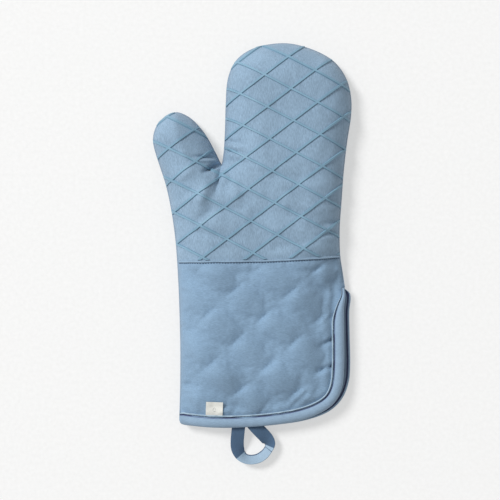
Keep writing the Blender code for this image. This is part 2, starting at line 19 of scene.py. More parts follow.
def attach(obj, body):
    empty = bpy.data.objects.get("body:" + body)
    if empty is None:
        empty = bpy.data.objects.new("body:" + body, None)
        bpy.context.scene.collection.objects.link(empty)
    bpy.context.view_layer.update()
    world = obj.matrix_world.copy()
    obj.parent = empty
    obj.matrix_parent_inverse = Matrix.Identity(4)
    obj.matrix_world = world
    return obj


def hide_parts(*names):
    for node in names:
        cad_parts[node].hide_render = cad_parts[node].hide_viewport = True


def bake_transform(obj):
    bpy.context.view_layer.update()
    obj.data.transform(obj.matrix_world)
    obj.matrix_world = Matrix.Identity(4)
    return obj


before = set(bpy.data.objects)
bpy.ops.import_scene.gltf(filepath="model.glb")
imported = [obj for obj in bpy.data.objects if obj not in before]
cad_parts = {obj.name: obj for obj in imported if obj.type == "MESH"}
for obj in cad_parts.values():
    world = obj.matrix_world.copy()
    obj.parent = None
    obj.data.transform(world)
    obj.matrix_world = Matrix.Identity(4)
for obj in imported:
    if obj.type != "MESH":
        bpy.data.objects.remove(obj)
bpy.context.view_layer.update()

MM = 0.001

# -------- sizes, in millimetres

SEAM_POINTS = (
    (79.5, -29.0), (77.2, -14.0), (75.2, 0.0), (74.8, 22.0), (76.4, 45.0), (78.4, 72.0), (81.3, 97.0),
    (84.6, 119.0), (84.6, 135.0), (80.5, 151.0), (70.0, 165.5), (53.0, 175.2), (32.0, 180.8),
    (12.0, 179.6), (-3.5, 174.4), (-14.5, 165.0), (-20.6, 150.0), (-22.2, 130.0), (-22.9, 106.0),
    (-24.2, 86.0), (-26.4, 76.5), (-31.5, 86.0), (-40.0, 101.5), (-50.0, 113.6), (-58.5, 119.6),
    (-66.5, 121.6), (-75.5, 117.6), (-82.5, 109.0), (-85.0, 98.0), (-82.6, 86.5), (-78.5, 74.0),
    (-73.6, 58.5), (-69.4, 39.0), (-66.0, 16.0), (-64.0, -8.0), (-62.4, -40.0), (-61.4, -80.0),
    (-61.6, -115.0), (-62.4, -143.6),
)
FRONT_MOUTH_POINTS = (
    (-62.4, -143.6), (-61.8, -145.7), (-59.0, -146.9), (-53.0, -147.6), (-32.0, -149.0), (-8.0, -148.7),
    (18.0, -146.6), (42.0, -142.4),
    (60.0, -135.6), (71.5, -126.4), (77.4, -113.0), (79.0, -95.0), (79.0, -70.0), (78.8, -48.0),
    (80.2, -36.0), (79.5, -29.0),
)
BACK_MOUTH_POINTS = (
    (-62.4, -143.6), (-53.0, -147.0), (-32.0, -148.4), (-8.0, -148.0), (18.0, -146.0), (44.0, -142.2),
    (64.0, -135.2), (75.6, -124.8), (81.4, -111.0), (82.8, -95.0), (82.3, -70.0), (82.0, -50.0),
    (83.2, -37.0), (79.5, -29.0),
)
YOKE_POINTS = ((-70.0, -7.1), (-13.0, -6.4), (22.0, -5.6), (84.0, -2.0))
CROTCH = np.array((-26.6, 78.6))
FINGER_CREASE_Y = 92.0
THUMB_CREASE = np.array((math.cos(math.radians(20)), math.sin(math.radians(20))))

SPAN_POINTS = 8
CROTCH_AT = 20

SHEET_STEP = 1.8
ROW_SHARE = 0.866
CROTCH_FINE = 26.0
LINING_STEP = 3.4
WADDING_STEP = 5.0
CLOTH_THICK = 0.7
FLOOR_CLEARANCE = 0.05
SEAM_LEVEL = 7.6
HAND_RISE = 26.4
CUFF_RISE = 21.4
MOUTH_RISE = 10.4
MOUTH_REACH = 50.0
MOUTH_Y = -150.0
CROWN_REACH = 33.0
WALL_THICK = 6.2
BACK_CLOTH_LEVEL = 1.0
BACK_LINING_LEVEL = 7.1
BACK_BINDING_LEVEL = 4.45
BACK_EDGE_REACH = 9.0
SEAM_BULGE = 0.8
SEAM_ROLL = 0.9
SEAM_ROLL_INSET = 0.35
TUBE_SIDES = 8
BINDING_WIDTH = 11.2
EDGE_INSET = 1.4

QUILT_U = np.array((-22.9, -20.5))
QUILT_V = np.array((25.1, -22.4))
QUILT_CROSSING = np.array((22.2, -42.6))
QUILT_DEPTH = 5.0
QUILT_SKEW = 0.56
THREAD_PITCH = 0.75

PUFF_FRAMES = 26
PUFF_TRAVEL = 2.2
PUFF_SCALE = 10

LATTICE_START = np.array((30.5, 167.0))
LATTICE_U = np.array((22.3, -11.6))
LATTICE_V = np.array((-20.2, -15.4))
LATTICE_BAR = 1.95
LATTICE_HEIGHT = 1.15
LATTICE_LIP = 0.3
LATTICE_SINK = 0.35
LATTICE_EASE = 0.22
LATTICE_RANGE = range(-9, 16)

# Tucks in the front cloth: where each begins and ends, how deep it is and how wide
HAND_TUCKS = (
    ((-28.6, 76.2), (-42.0, 69.2), 7.6, 1.9), ((-27.0, 71.5), (-31.5, 49.0), 3.4, 2.2),
    ((-30.5, 82.6), (-51.0, 82.4), 3.2, 1.8), ((-36.0, 36.0), (-50.0, 24.0), 1.8, 3.4),
    ((-21.0, 96.5), (-6.0, 93.0), 1.7, 2.0), ((-22.0, 89.0), (-2.0, 84.0), 1.3, 2.2),
    ((-66.5, 29.5), (-56.0, 25.0), 1.8, 2.4), ((-76.0, 70.0), (-66.0, 65.0), 1.4, 2.2),
    ((-64.0, 5.0), (-52.0, 9.0), 1.4, 2.4), ((76.5, 20.0), (54.0, 15.0), 2.4, 2.4),
    ((76.0, 28.0), (58.0, 25.0), 1.9, 2.2), ((77.0, 47.0), (62.0, 41.0), 1.0, 2.6),
    ((-24.0, 80.0), (6.0, 76.0), 1.2, 2.8), ((-68.0, 60.0), (-56.0, 52.0), 1.1, 3.0),
    ((20.0, 66.0), (58.0, 62.0), 1.2, 4.2), ((-44.0, 18.0), (-20.0, 12.0), 1.3, 4.0),
    ((2.0, 33.0), (34.0, 24.0), 1.3, 4.4), ((20.0, 6.0), (52.0, 10.0), 1.3, 3.6),
    ((-23.0, 57.0), (-8.0, 55.0), 1.6, 3.0), ((-60.0, 48.0), (-50.0, 56.0), 1.6, 3.0),
)
# Soft ridges in the hand: each between two points, with its height and half width
HAND_RIDGES = (
    ((-39.0, 56.0), (-48.0, 35.0), 3.8, 4.8), ((-31.0, 79.4), (-49.0, 79.6), 2.0, 1.5),
    ((-15.0, 56.0), (-11.0, 40.0), 2.8, 5.0), ((-24.5, 66.5), (-20.0, 61.0), 2.4, 3.6),
    ((-56.0, 68.0), (-64.0, 62.0), 2.6, 4.0), ((-22.0, 93.0), (-10.0, 89.0), 1.3, 2.2),
    ((30.0, 44.0), (58.0, 38.0), 1.8, 6.0), ((-30.0, 26.0), (-6.0, 20.0), 1.6, 5.6),
    ((74.0, 24.0), (58.0, 20.0), 1.4, 2.0), ((8.0, 62.0), (34.0, 56.0), 1.2, 5.0),
)
CUFF_TUCKS = (
    ((70.5, -72.0), (56.0, -80.0), 3.2, 1.9), ((70.5, -95.5), (55.0, -101.0), 3.0, 1.9),
    ((46.0, -118.5), (32.0, -133.0), 2.2, 2.0), ((70.0, -52.0), (52.0, -66.0), 0.9, 3.0),
    ((-60.0, -112.0), (-43.0, -112.5), 1.8, 2.2), ((-59.5, -119.0), (-46.0, -118.6), 1.2, 1.8),
    ((-60.0, -62.0), (-47.0, -66.0), 0.9, 2.6), ((-61.0, -32.0), (-50.0, -34.0), 0.9, 2.4),
    ((6.0, -137.0), (14.0, -124.0), 0.9, 2.2), ((-18.0, -138.0), (-12.0, -126.0), 0.8, 2.2),
)


# -------- plane curves

def smooth_curve(points, per_span):
    """Points on a Catmull-Rom curve through the given points, both ends included."""
    p = np.array(points, float)
    padded = np.vstack([2 * p[0] - p[1], p, 2 * p[-1] - p[-2]])
    made = []
    for i in range(len(p) - 1):
        a, b, c, d = padded[i : i + 4]
        for t in np.arange(per_span) / per_span:
            made.append(0.5 * (2 * b + (c - a) * t + (2 * a - 5 * b + 4 * c - d) * t**2
                               + (3 * b - a - 3 * c + d) * t**3))
    return np.array(made + [p[-1]])


def lengths_along(line):
    return np.concatenate([[0.0], np.cumsum(np.linalg.norm(np.diff(line, axis=0), axis=1))])


def evenly(line, step):
    """The same line with points at even steps."""
    run = lengths_along(line)
    where = np.linspace(0, run[-1], max(2, int(round(run[-1] / step)) + 1))
    return np.column_stack([np.interp(where, run, line[:, k]) for k in range(line.shape[1])])


def unit(vectors):
    return vectors / np.linalg.norm(vectors, axis=-1, keepdims=True)


def sideways(line):
    """Unit vectors to the left of each point of a plane line."""
    along = unit(np.gradient(line, axis=0))
    return np.column_stack([-along[:, 1], along[:, 0]])


def distance_to(line, points):
    """Distance from each point to an open plane line."""
    best = np.full(len(points), 1e9)
    for a, b in zip(line[:-1], line[1:]):
        span = b - a
        share = np.clip(((points - a) @ span) / max(span @ span, 1e-12), 0, 1)
        best = np.minimum(best, np.linalg.norm(points - a - share[:, None] * span, axis=1))
    return best


def inside(polygon, points):
    x, y = points[:, 0], points[:, 1]
    found = np.zeros(len(points), bool)
    for (ax, ay), (bx, by) in zip(polygon, np.roll(polygon, -1, axis=0)):
        if ay != by:
            found ^= ((ay > y) != (by > y)) & (x < ax + (y - ay) * (bx - ax) / (by - ay))
    return found


def side_of(start, direction, points):
    """Signed distance to the left of a straight line."""
    offset = points - np.array(start)
    return direction[0] * offset[:, 1] - direction[1] * offset[:, 0]


def ease(t):
    """Smooth step from 0 to 1."""
    t = np.clip(t, 0, 1)
    return t * t * (3 - 2 * t)


def ripples(points, seed, size, count=14):
    """Gentle unevenness from -1 to 1: a sum of waves of about the given length."""
    random = np.random.default_rng(seed)
    total = np.zeros(len(points))
    for _ in range(count):
        turn = random.uniform(0, 2 * math.pi)
        wave = 2 * math.pi / (size * random.uniform(0.7, 1.6))
        total += np.cos(points @ (wave * np.array((math.cos(turn), math.sin(turn))))
                        + random.uniform(0, 2 * math.pi))
    return total / math.sqrt(count * 2)


def ripples_along(run, seed, size):
    return ripples(np.column_stack([run, np.zeros(len(run))]), seed, size)


def bell(distance, width):
    return np.exp(-((distance / width) ** 2))


def seam_line(step):
    """The closed seam at even steps, with a corner kept where the thumb meets the hand."""
    dense = smooth_curve(SEAM_POINTS, SPAN_POINTS)
    corner = SPAN_POINTS * CROTCH_AT
    return np.vstack([evenly(dense[: corner + 1], step)[:-1], evenly(dense[corner:], step)])


SEAM = seam_line(SHEET_STEP)
FRONT_MOUTH = evenly(smooth_curve(FRONT_MOUTH_POINTS, SPAN_POINTS), SHEET_STEP)
BACK_MOUTH = evenly(smooth_curve(BACK_MOUTH_POINTS, SPAN_POINTS), SHEET_STEP)
YOKE = evenly(smooth_curve(YOKE_POINTS, SPAN_POINTS), SHEET_STEP)
FLAP_START = np.array(SEAM_POINTS[-1])
FLAP_ALONG = unit(np.array(SEAM_POINTS[0]) - FLAP_START)


def above_yoke(points):
    """Height of each point above the yoke seam in the plan."""
    return points[:, 1] - np.interp(points[:, 0], YOKE[:, 0], YOKE[:, 1])


def eased_out(mouth, amount):
    """A mouth line moved outward in its middle and left alone at its ends."""
    run = lengths_along(mouth)
    free = ease(run / 40) * ease((run[-1] - run) / 7)
    return mouth - (amount * free)[:, None] * sideways(mouth)


BACK_EDGE = eased_out(BACK_MOUTH, 2.1)


def wall_outline(mouth):
    return np.vstack([SEAM[:-1], mouth[:-1]])


def in_thumb(points):
    above = (above_yoke(points) > 0) & (side_of(CROTCH, THUMB_CREASE, points) > 0)
    return above & (points[:, 0] < CROTCH[0])


def in_hand(points):
    return (above_yoke(points) > 0) & ~in_thumb(points)


def in_cuff(points):
    return above_yoke(points) <= 0


# -------- the walls' profiles

def crown(distance, reach):
    """The padded side: steep at the seam, level beyond its reach."""
    return (1 - (1 - np.clip(distance / reach, 0, 1)) ** 2.3) ** 0.62


def rise(points, mouth):
    """How far the front cloth stands above the closed seam in its middle."""
    crest = CUFF_RISE + (HAND_RISE - CUFF_RISE) * ease((points[:, 1] - MOUTH_Y) / -MOUTH_Y)
    return MOUTH_RISE + (crest - MOUTH_RISE) * ease(mouth / MOUTH_REACH)


def quilt_shares(points):
    """Where each point lies in the quilting's cells, as shares of a cell's two sides."""
    return (points - QUILT_CROSSING) @ np.linalg.inv(np.array([QUILT_U, QUILT_V]))


def quilt_puff(points):
    """1 at the middle of a quilted cell and 0 on its stitch lines."""
    share = quilt_shares(points)
    share -= np.floor(share)
    along = np.sin(math.pi * share[:, 0])
    across = np.sin(math.pi * share[:, 1] ** QUILT_SKEW)
    return across ** (0.8 + 1.5 * (1 - along)) * along**2.2


def tucked(points, tucks):
    """How far a set of tucks pulls the cloth down."""
    total = np.zeros(len(points))
    for start, end, depth, width in tucks:
        a, b = np.array(start), np.array(end)
        span = b - a
        share = ((points - a) @ span) / (span @ span)
        nearest = a + np.clip(share, 0, 1)[:, None] * span
        away = np.linalg.norm(points - nearest, axis=1)
        fade = ease((1.25 - share) / 0.9)
        total += depth * fade * bell(away, width)
    return total


def front_parts(points):
    """Distances that the front wall's height depends on: to the seam, the mouth and the yoke."""
    return distance_to(SEAM, points), distance_to(FRONT_MOUTH, points), above_yoke(points)


def pinch(seam, mouth):
    """How far the binding presses the front cloth down."""
    return 1.2 * ease((14.0 - mouth) / 5.0) * np.clip(seam / 8, 0, 1)


def front_base(points, seam, mouth):
    """The front cloth without quilting or tucks."""
    return SEAM_LEVEL + rise(points, mouth) * crown(seam, CROWN_REACH) - pinch(seam, mouth)


def room_within(seam, mouth):
    """1 where a layer is free to puff, falling to 0 at the closed seam and at the binding."""
    return ease(seam / 16) * ease((mouth - BINDING_WIDTH) / 9)


def quilt_room(seam, mouth, yoke):
    """1 where the quilting is free to puff, falling to 0 at the seams round it."""
    return room_within(seam, mouth) * ease(np.abs(yoke) / 11)


def edge_pucker(seam, reach):
    """1 close to the closed seam, falling to 0 on it and over a given reach inward."""
    return np.exp(-seam / reach) * np.clip(seam / 1.5, 0, 1)


def front_height(points):
    seam, mouth, yoke = front_parts(points)
    z = front_base(points, seam, mouth)
    cuff = yoke < 0
    soft = np.clip(seam / 6, 0, 1)
    room, puff = quilt_room(seam, mouth, yoke), quilt_puff(points)
    z += np.where(cuff, QUILT_DEPTH * (room * puff - 0.55 * room), 0)
    hand_room = ease(seam / 22) * ease(yoke / 14)
    z += np.where(cuff, 0, 0.7 * hand_room * (puff - 0.5) * ease((60 - yoke) / 60))
    z += soft * (0.35 * ripples(points, 3, 26) + 0.14 * ripples(points, 4, 9))
    z -= soft * 1.3 * bell(yoke, 4.2)
    z -= soft * bell(mouth - BINDING_WIDTH, 3.0)
    z += 0.55 * edge_pucker(seam, 5.0) * ripples(points, 6, 7.5)
    palm = soft * ease((92 - points[:, 1]) / 40) * ease(yoke / 8)
    z += 0.5 * palm * ripples(points * np.array((0.4, 1.0)), 11, 15)
    return z + soft * (tucked(points, HAND_RIDGES) - tucked(points, HAND_TUCKS + CUFF_TUCKS))


def back_height(points):
    seam, mouth = distance_to(SEAM, points), distance_to(BACK_MOUTH, points)
    yoke = above_yoke(points)
    z = SEAM_LEVEL - (SEAM_LEVEL - BACK_CLOTH_LEVEL) * crown(seam, BACK_EDGE_REACH)
    lifted = 1.5 * (1 - np.clip(quilt_puff(points) * 1.7, 0, 1)) * quilt_room(seam, mouth, yoke)
    soft = np.clip(seam / 6, 0, 1)
    z += np.where(yoke < 0, lifted, 0.0)
    z += soft * (0.9 * bell(yoke, 4.2) + bell(mouth - BINDING_WIDTH, 3.0))
    return z + 0.4 * edge_pucker(seam, 4.0) * ripples(points, 8, 7.5)


def front_lining_height(points):
    seam, mouth, _ = front_parts(points)
    wall = WALL_THICK * ease(seam / 10) + 1.4
    z = front_base(points, seam, mouth) + pinch(seam, mouth) - wall
    puff = 1.6 * room_within(seam, mouth) * (0.5 - quilt_puff(points))
    return np.maximum(z + puff, SEAM_LEVEL + 0.3)


def back_lining_height(points):
    room = room_within(distance_to(SEAM, points), distance_to(BACK_MOUTH, points))
    return np.minimum(BACK_LINING_LEVEL + 1.2 * room * (quilt_puff(points) - 0.7), SEAM_LEVEL - 0.3)


# -------- sheets

def chained(lines):
    """The points of some lines, one line after another, and the edges along each."""
    points, edges = [], []
    for line in lines:
        first = len(points)
        points += [tuple(p) for p in line]
        edges += [(first + i, first + i + 1) for i in range(len(line) - 1)]
    return points, edges


def triangulated(points, edges, tolerance):
    made = delaunay_2d_cdt([Vector(p) for p in points], edges, [], 0, tolerance)
    return np.array([tuple(v) for v in made[0]]), np.array(made[2])


def plan_mesh(outline, lines, step):
    """Even triangles over the inside of an outline, with points along each of the lines."""
    points, edges = chained([outline, *lines])
    edges.insert(len(outline) - 1, (len(outline) - 1, 0))
    low, high = outline.min(axis=0), outline.max(axis=0)
    rows = int((high[1] - low[1]) / (step * ROW_SHARE)) + 1
    cols = int((high[0] - low[0]) / step) + 2
    grid = np.array([(low[0] + (c + 0.5 * (r % 2)) * step, low[1] + r * step * ROW_SHARE)
                     for r in range(rows) for c in range(cols)])
    if step <= SHEET_STEP:
        close = grid[np.linalg.norm(grid - CROTCH, axis=1) < CROTCH_FINE]
        ways = 0.5 * step * np.array(((1, 0), (0.5, ROW_SHARE), (-0.5, ROW_SHARE)))
        grid = np.vstack([grid, *(close + way for way in ways)])
    grid = grid[inside(outline, grid)]
    clear = distance_to(np.vstack([outline, outline[:1]]), grid) > 0.6 * step
    for line in lines:
        clear &= distance_to(line, grid) > 0.55 * step
    points += [tuple(p) for p in grid[clear]]
    flat, triangles = triangulated(points, edges, 1e-4)
    return flat, triangles[inside(outline, flat[triangles].mean(axis=1))]


def vertex_normals(positions, triangles):
    a, b, c = (positions[triangles[:, k]] for k in range(3))
    faces = np.cross(b - a, c - a)
    total = np.zeros_like(positions)
    for k in range(3):
        np.add.at(total, triangles[:, k], faces)
    return total / np.maximum(np.linalg.norm(total, axis=1), 1e-12)[:, None]


class Sheet:
    """A cloth surface over the plan: plan points, triangles, 3-D positions and normals."""

    def __init__(self, flat, triangles, positions, outward):
        self.flat, self.triangles, self.positions = flat, triangles, positions
        self.outward = outward
        self.normals = outward * vertex_normals(positions, triangles)
        corners = [Vector((x, y, 0)) for x, y in flat]
        self.finder = BVHTree.FromPolygons(corners, triangles.tolist())

    def at(self, points):
        """The places and normals on the sheet over some plan points."""
        places, normals = np.zeros((len(points), 3)), np.zeros((len(points), 3))
        for i, (x, y) in enumerate(points):
            where, _, index, _ = self.finder.find_nearest(Vector((x, y, 0)))
            t = self.triangles[index]
            a, b, c = self.flat[t]
            area = (b[0] - a[0]) * (c[1] - a[1]) - (c[0] - a[0]) * (b[1] - a[1])
            v = ((where.x - a[0]) * (c[1] - a[1]) - (c[0] - a[0]) * (where.y - a[1])) / area
            w = ((b[0] - a[0]) * (where.y - a[1]) - (where.x - a[0]) * (b[1] - a[1])) / area
            share = np.array((1 - v - w, v, w))
            places[i] = share @ self.positions[t]
            normals[i] = share @ self.normals[t]
        return places, unit(normals)


def nearest_on(line, points):
    """For each point, the number of the line's nearest point."""
    return np.array([np.argmin(((line - p) ** 2).sum(axis=1)) for p in points])


def bulged(flat, heights, seam):
    """3-D positions, with the cloth standing a little proud of the seam that holds it in."""
    outward = SEAM[nearest_on(SEAM, flat)] - flat
    outward /= np.maximum(np.linalg.norm(outward, axis=1), 1e-6)[:, None]
    share = SEAM_BULGE * (1 - np.exp(-seam / 0.9)) * np.exp(-seam / 6.0)
    return np.column_stack([flat + outward * share[:, None], heights])


def quilt_lines(region, step):
    """The quilting's stitch lines inside a region."""
    lines = []
    for own, other in ((QUILT_U, QUILT_V), (QUILT_V, QUILT_U)):
        for i in range(-8, 9):
            line = evenly(np.array([QUILT_CROSSING + i * other - 9 * own,
                                    QUILT_CROSSING + i * other + 9 * own]), step)
            keep = region(line)
            run = []
            for p, k in zip(line, keep):
                if k:
                    run.append(p)
                if (not k or p is line[-1]) and run:
                    if len(run) > 2:
                        lines.append(np.array(run))
                    run = []
    return lines


def free_cuff(mouth):
    """A test for points of the cuff clear of the seams round it."""
    def test(points):
        clear = distance_to(mouth, points) > BINDING_WIDTH + 3
        clear &= (distance_to(SEAM, points) > 5) & (above_yoke(points) < -4)
        return clear & inside(wall_outline(mouth), points)
    return test


def mouth_edge(mouth):
    """The line where a wall's own layers end, inside its binding."""
    edge = mouth + EDGE_INSET * sideways(mouth)
    edge[0], edge[-1] = mouth[0], mouth[-1]
    return edge


def walls_plan(mouth, step, with_quilt):
    outline = np.vstack([seam_line(step)[:-1], evenly(mouth_edge(mouth), step)[:-1]])
    yoke = evenly(YOKE, step)
    yoke = yoke[inside(outline, yoke) & (distance_to(SEAM, yoke) > 0.6 * step)]
    crease = evenly(np.array([CROTCH - 0.5 * step * THUMB_CREASE, CROTCH - 60 * THUMB_CREASE]), step)
    crease = crease[inside(outline, crease) & (distance_to(SEAM, crease) > 0.5 * step)]
    crease = np.vstack([CROTCH, crease])
    lines = [yoke, crease]
    if with_quilt:
        lines += quilt_lines(free_cuff(mouth), step)
    return plan_mesh(outline, lines, step)


# -------- the cuff's cloth simulation

def puffed_by_cloth(flat, triangles, positions):
    """The cuff's cloth let loose between its stitch lines: pressed up by the wadding, with a little
    more cloth than the space it covers, so that it puffs and puckers."""
    part = above_yoke(flat) < 0.3
    used = part[triangles].all(axis=1)
    index, faces = only_used(triangles[used], len(flat))
    mesh = bpy.data.meshes.new("cuff_cloth")
    mesh.from_pydata((positions[index] * MM * PUFF_SCALE).tolist(), [], faces.tolist())
    cloth_object = bpy.data.objects.new("cuff_cloth", mesh)
    bpy.context.scene.collection.objects.link(cloth_object)

    plan = flat[index]
    share = quilt_shares(plan)
    on_stitch = np.abs(share - np.round(share)).min(axis=1) < 0.004
    held = on_stitch & free_cuff(FRONT_MOUTH)(plan)
    held |= (distance_to(FRONT_MOUTH, plan) < BINDING_WIDTH + 0.5) | (distance_to(SEAM, plan) < 2.2)
    held |= above_yoke(plan) > -1.5
    group = cloth_object.vertex_groups.new(name="held")
    group.add([int(i) for i in np.nonzero(held)[0]], 1.0, "REPLACE")

    cloth = cloth_object.modifiers.new("cloth", "CLOTH")
    settings = cloth.settings
    settings.quality = 7
    settings.mass = 0.15
    settings.tension_stiffness = settings.compression_stiffness = 18
    settings.shear_stiffness = 8
    settings.bending_stiffness = 0.9
    settings.tension_damping = settings.compression_damping = 8
    settings.air_damping = 6
    settings.use_pressure = True
    settings.uniform_pressure_force = 1.5
    settings.shrink_min = -0.014
    settings.vertex_group_mass = "held"
    settings.effector_weights.gravity = 0
    cloth.collision_settings.use_collision = False
    cloth.collision_settings.use_self_collision = False
    cloth.point_cache.frame_start, cloth.point_cache.frame_end = 1, PUFF_FRAMES
    for step in range(1, PUFF_FRAMES + 1):
        bpy.context.scene.frame_set(step)
    evaluated = cloth_object.evaluated_get(bpy.context.evaluated_depsgraph_get())
    puffed = np.array([v.co for v in evaluated.data.vertices]) / (MM * PUFF_SCALE)
    bpy.data.objects.remove(cloth_object)
    bpy.context.scene.frame_set(1)

    moved = puffed - positions[index]
    size = np.linalg.norm(moved, axis=1)
    moved *= np.minimum(1, PUFF_TRAVEL / np.maximum(size, 1e-9))[:, None]
    result = positions.copy()
    result[index] += moved
    return result


def outer_sheet(mouth, height, outward):
    """One wall's outer cloth, with the front's cuff puffed by simulation."""
    flat, triangles = walls_plan(mouth, SHEET_STEP, True)
    positions = bulged(flat, height(flat), distance_to(SEAM, flat))
    if outward > 0:
        positions = puffed_by_cloth(flat, triangles, positions)
    return Sheet(flat, triangles, positions, outward)


def lining_sheet(mouth, height, outward):
    flat, triangles = walls_plan(mouth, LINING_STEP, False)
    return Sheet(flat, triangles, np.column_stack([flat, height(flat)]), outward)


# -------- making objects

def new_object(name, vertices, faces, material):
    mesh = bpy.data.meshes.new(name)
    mesh.from_pydata((np.asarray(vertices) * MM).tolist(), [], faces)
    mesh.materials.append(material)
    mesh.shade_smooth()
    made = bpy.data.objects.new(name, mesh)
    bpy.context.scene.collection.objects.link(made)
    return made


def face_outward(made):
    """Turns every face of a closed piece outward."""
    fix = bmesh.new()
    fix.from_mesh(made.data)
    bmesh.ops.recalc_face_normals(fix, faces=fix.faces)
    fix.to_mesh(made.data)
    fix.free()


def only_used(triangles, count):
    """The point numbers that some triangles use, and the triangles renumbered to match."""
    index = np.unique(triangles)
    renumber = np.full(count, -1)
    renumber[index] = np.arange(len(index))
    return index, renumber[triangles]


def layer_faces(triangles, count):
    """The faces of a closed layer whose lower points follow its upper ones in the same order."""
    faces = triangles.tolist() + (triangles[:, ::-1] + count).tolist()
    return faces + [(b, a, a + count, b + count) for a, b in boundary_edges(triangles)]


def tube_faces(rings, sides, first=0):
    """The side faces of a tube made of rings of points, and then its two ends."""
    faces = []
    for k in range(rings - 1):
        for i in range(sides):
            a, b = first + k * sides + i, first + k * sides + (i + 1) % sides
            faces.append((a, b, b + sides, a + sides))
    last = first + (rings - 1) * sides
    return faces + [tuple(range(first, first + sides))[::-1], tuple(range(last, last + sides))]


def paint(made, material, sides, rings, strips):
    """Gives some strips of a tube's faces a material, over some of its rings."""
    slots = made.data.materials
    if slots.find(material.name) < 0:
        slots.append(material)
    for k in rings:
        for i in strips:
            made.data.polygons[k * sides + i].material_index = slots.find(material.name)


def boundary_edges(triangles):
    """Directed edges that only one triangle uses."""
    seen = {}
    for t in triangles:
        for k in range(3):
            a, b = int(t[k]), int(t[(k + 1) % 3])
            if (b, a) in seen:
                del seen[(b, a)]
            else:
                seen[(a, b)] = True
    return list(seen)


def cloth_piece(name, sheet, region, material):
    """A closed thin layer cut from a sheet, shaded as the uncut sheet is."""
    keep = region(sheet.flat[sheet.triangles].mean(axis=1))
    index, triangles = only_used(sheet.triangles[keep], len(sheet.flat))
    outer = sheet.positions[index]
    inner = outer - CLOTH_THICK * sheet.normals[index]
    if sheet.outward < 0:
        triangles = triangles[:, ::-1]
    faces = layer_faces(triangles, len(index))
    made = new_object(name, np.vstack([outer, inner]), faces, material)
    made.data.set_sharp_from_angle(angle=math.radians(60))
    normals = np.vstack([sheet.normals[index], -sheet.normals[index]])
    loops = np.zeros(len(made.data.loops), int)
    made.data.loops.foreach_get("vertex_index", loops)
    custom = normals[loops]
    first_of_rim = len(triangles) * 6
    custom[first_of_rim:] = 0
    made.data.normals_split_custom_set(custom.tolist())
    return made


# -------- materials

def node_material(name):
    material = bpy.data.materials.new(name)
    material.use_nodes = True
    tree = material.node_tree
    return material, tree, tree.nodes["Principled BSDF"]


def add(tree, kind, **inputs):
    node = tree.nodes.new(kind)
    for key, value in inputs.items():
        if key in node.inputs:
            node.inputs[key].default_value = value
        else:
            setattr(node, key, value)
    return node


def noise(tree, place, scale, detail, rough):
    node = add(tree, "ShaderNodeTexNoise", Scale=scale, Detail=detail, Roughness=rough)
    tree.links.new(place, node.inputs["Vector"])
    return node.outputs["Fac"]


def worked(tree, operation, *values):
    """A math node fed with sockets and numbers."""
    node = add(tree, "ShaderNodeMath", operation=operation)
    for socket, value in zip(node.inputs, values):
        if isinstance(value, float):
            socket.default_value = value
        else:
            tree.links.new(value, socket)
    return node.outputs[0]


def two_tone(tree, share, colour, dark, light):
    """A ramp between a darker and a lighter shade of a colour."""
    ramp = add(tree, "ShaderNodeValToRGB")
    for element, scale in zip(ramp.color_ramp.elements, (dark, light)):
        element.color = (*(min(1, c * scale) for c in colour), 1)
    tree.links.new(share, ramp.inputs["Fac"])
    return ramp


def roughen(tree, shader, height, strength, depth):
    bump = add(tree, "ShaderNodeBump", Strength=strength, Distance=depth * MM)
    tree.links.new(height, bump.inputs["Height"])
    tree.links.new(bump.outputs["Normal"], shader.inputs["Normal"])


def woven(name, colour, rib_turn, deep=0.1):
    """Plain woven cloth: threads both ways, streaks along one of them and faint cloudy colour."""
    material, tree, shader = node_material(name)
    link = tree.links.new
    turn = add(tree, "ShaderNodeMapping")
    turn.inputs["Rotation"].default_value = (0, 0, rib_turn)
    link(add(tree, "ShaderNodeTexCoord").outputs["Object"], turn.inputs["Vector"])
    place = turn.outputs["Vector"]

    def threads_along(direction):
        node = add(tree, "ShaderNodeTexWave", Scale=2 * math.pi / THREAD_PITCH / 20 / MM, Distortion=0.6)
        node.bands_direction = direction
        node.inputs["Detail"].default_value = 1.0
        node.inputs["Detail Scale"].default_value = 1.5
        link(place, node.inputs["Vector"])
        return node.outputs["Fac"]

    weave = worked(tree, "MULTIPLY", threads_along("X"), threads_along("Y"))
    slender = add(tree, "ShaderNodeMapping")
    slender.inputs["Scale"].default_value = (1 / (0.5 * MM) / 6, 1 / (3.2 * MM) / 6, 200)
    link(place, slender.inputs["Vector"])
    streak = noise(tree, slender.outputs["Vector"], 6.0, 3.0, 0.6)
    cloud = worked(tree, "MULTIPLY", noise(tree, place, 38.0, 2.0, 0.5), 0.25)
    share = worked(tree, "MULTIPLY_ADD", streak, 0.75, cloud)
    ramp = two_tone(tree, share, colour, 1 - deep, 1 + deep)
    ramp.color_ramp.elements[0].position, ramp.color_ramp.elements[1].position = 0.36, 0.64
    threads = add(tree, "ShaderNodeMix", data_type="RGBA", blend_type="MULTIPLY")
    threads.inputs["Factor"].default_value = 0.22
    link(ramp.outputs["Color"], threads.inputs[6])
    link(weave, threads.inputs[7])
    link(threads.outputs[2], shader.inputs["Base Color"])
    roughen(tree, shader, worked(tree, "MULTIPLY_ADD", streak, 0.6, weave), 0.35, 0.25)
    shader.inputs["Roughness"].default_value = 0.85
    shader.inputs["Sheen Weight"].default_value = 0.12
    shader.inputs["Sheen Roughness"].default_value = 0.5
    shader.inputs["Specular IOR Level"].default_value = 0.25
    return material


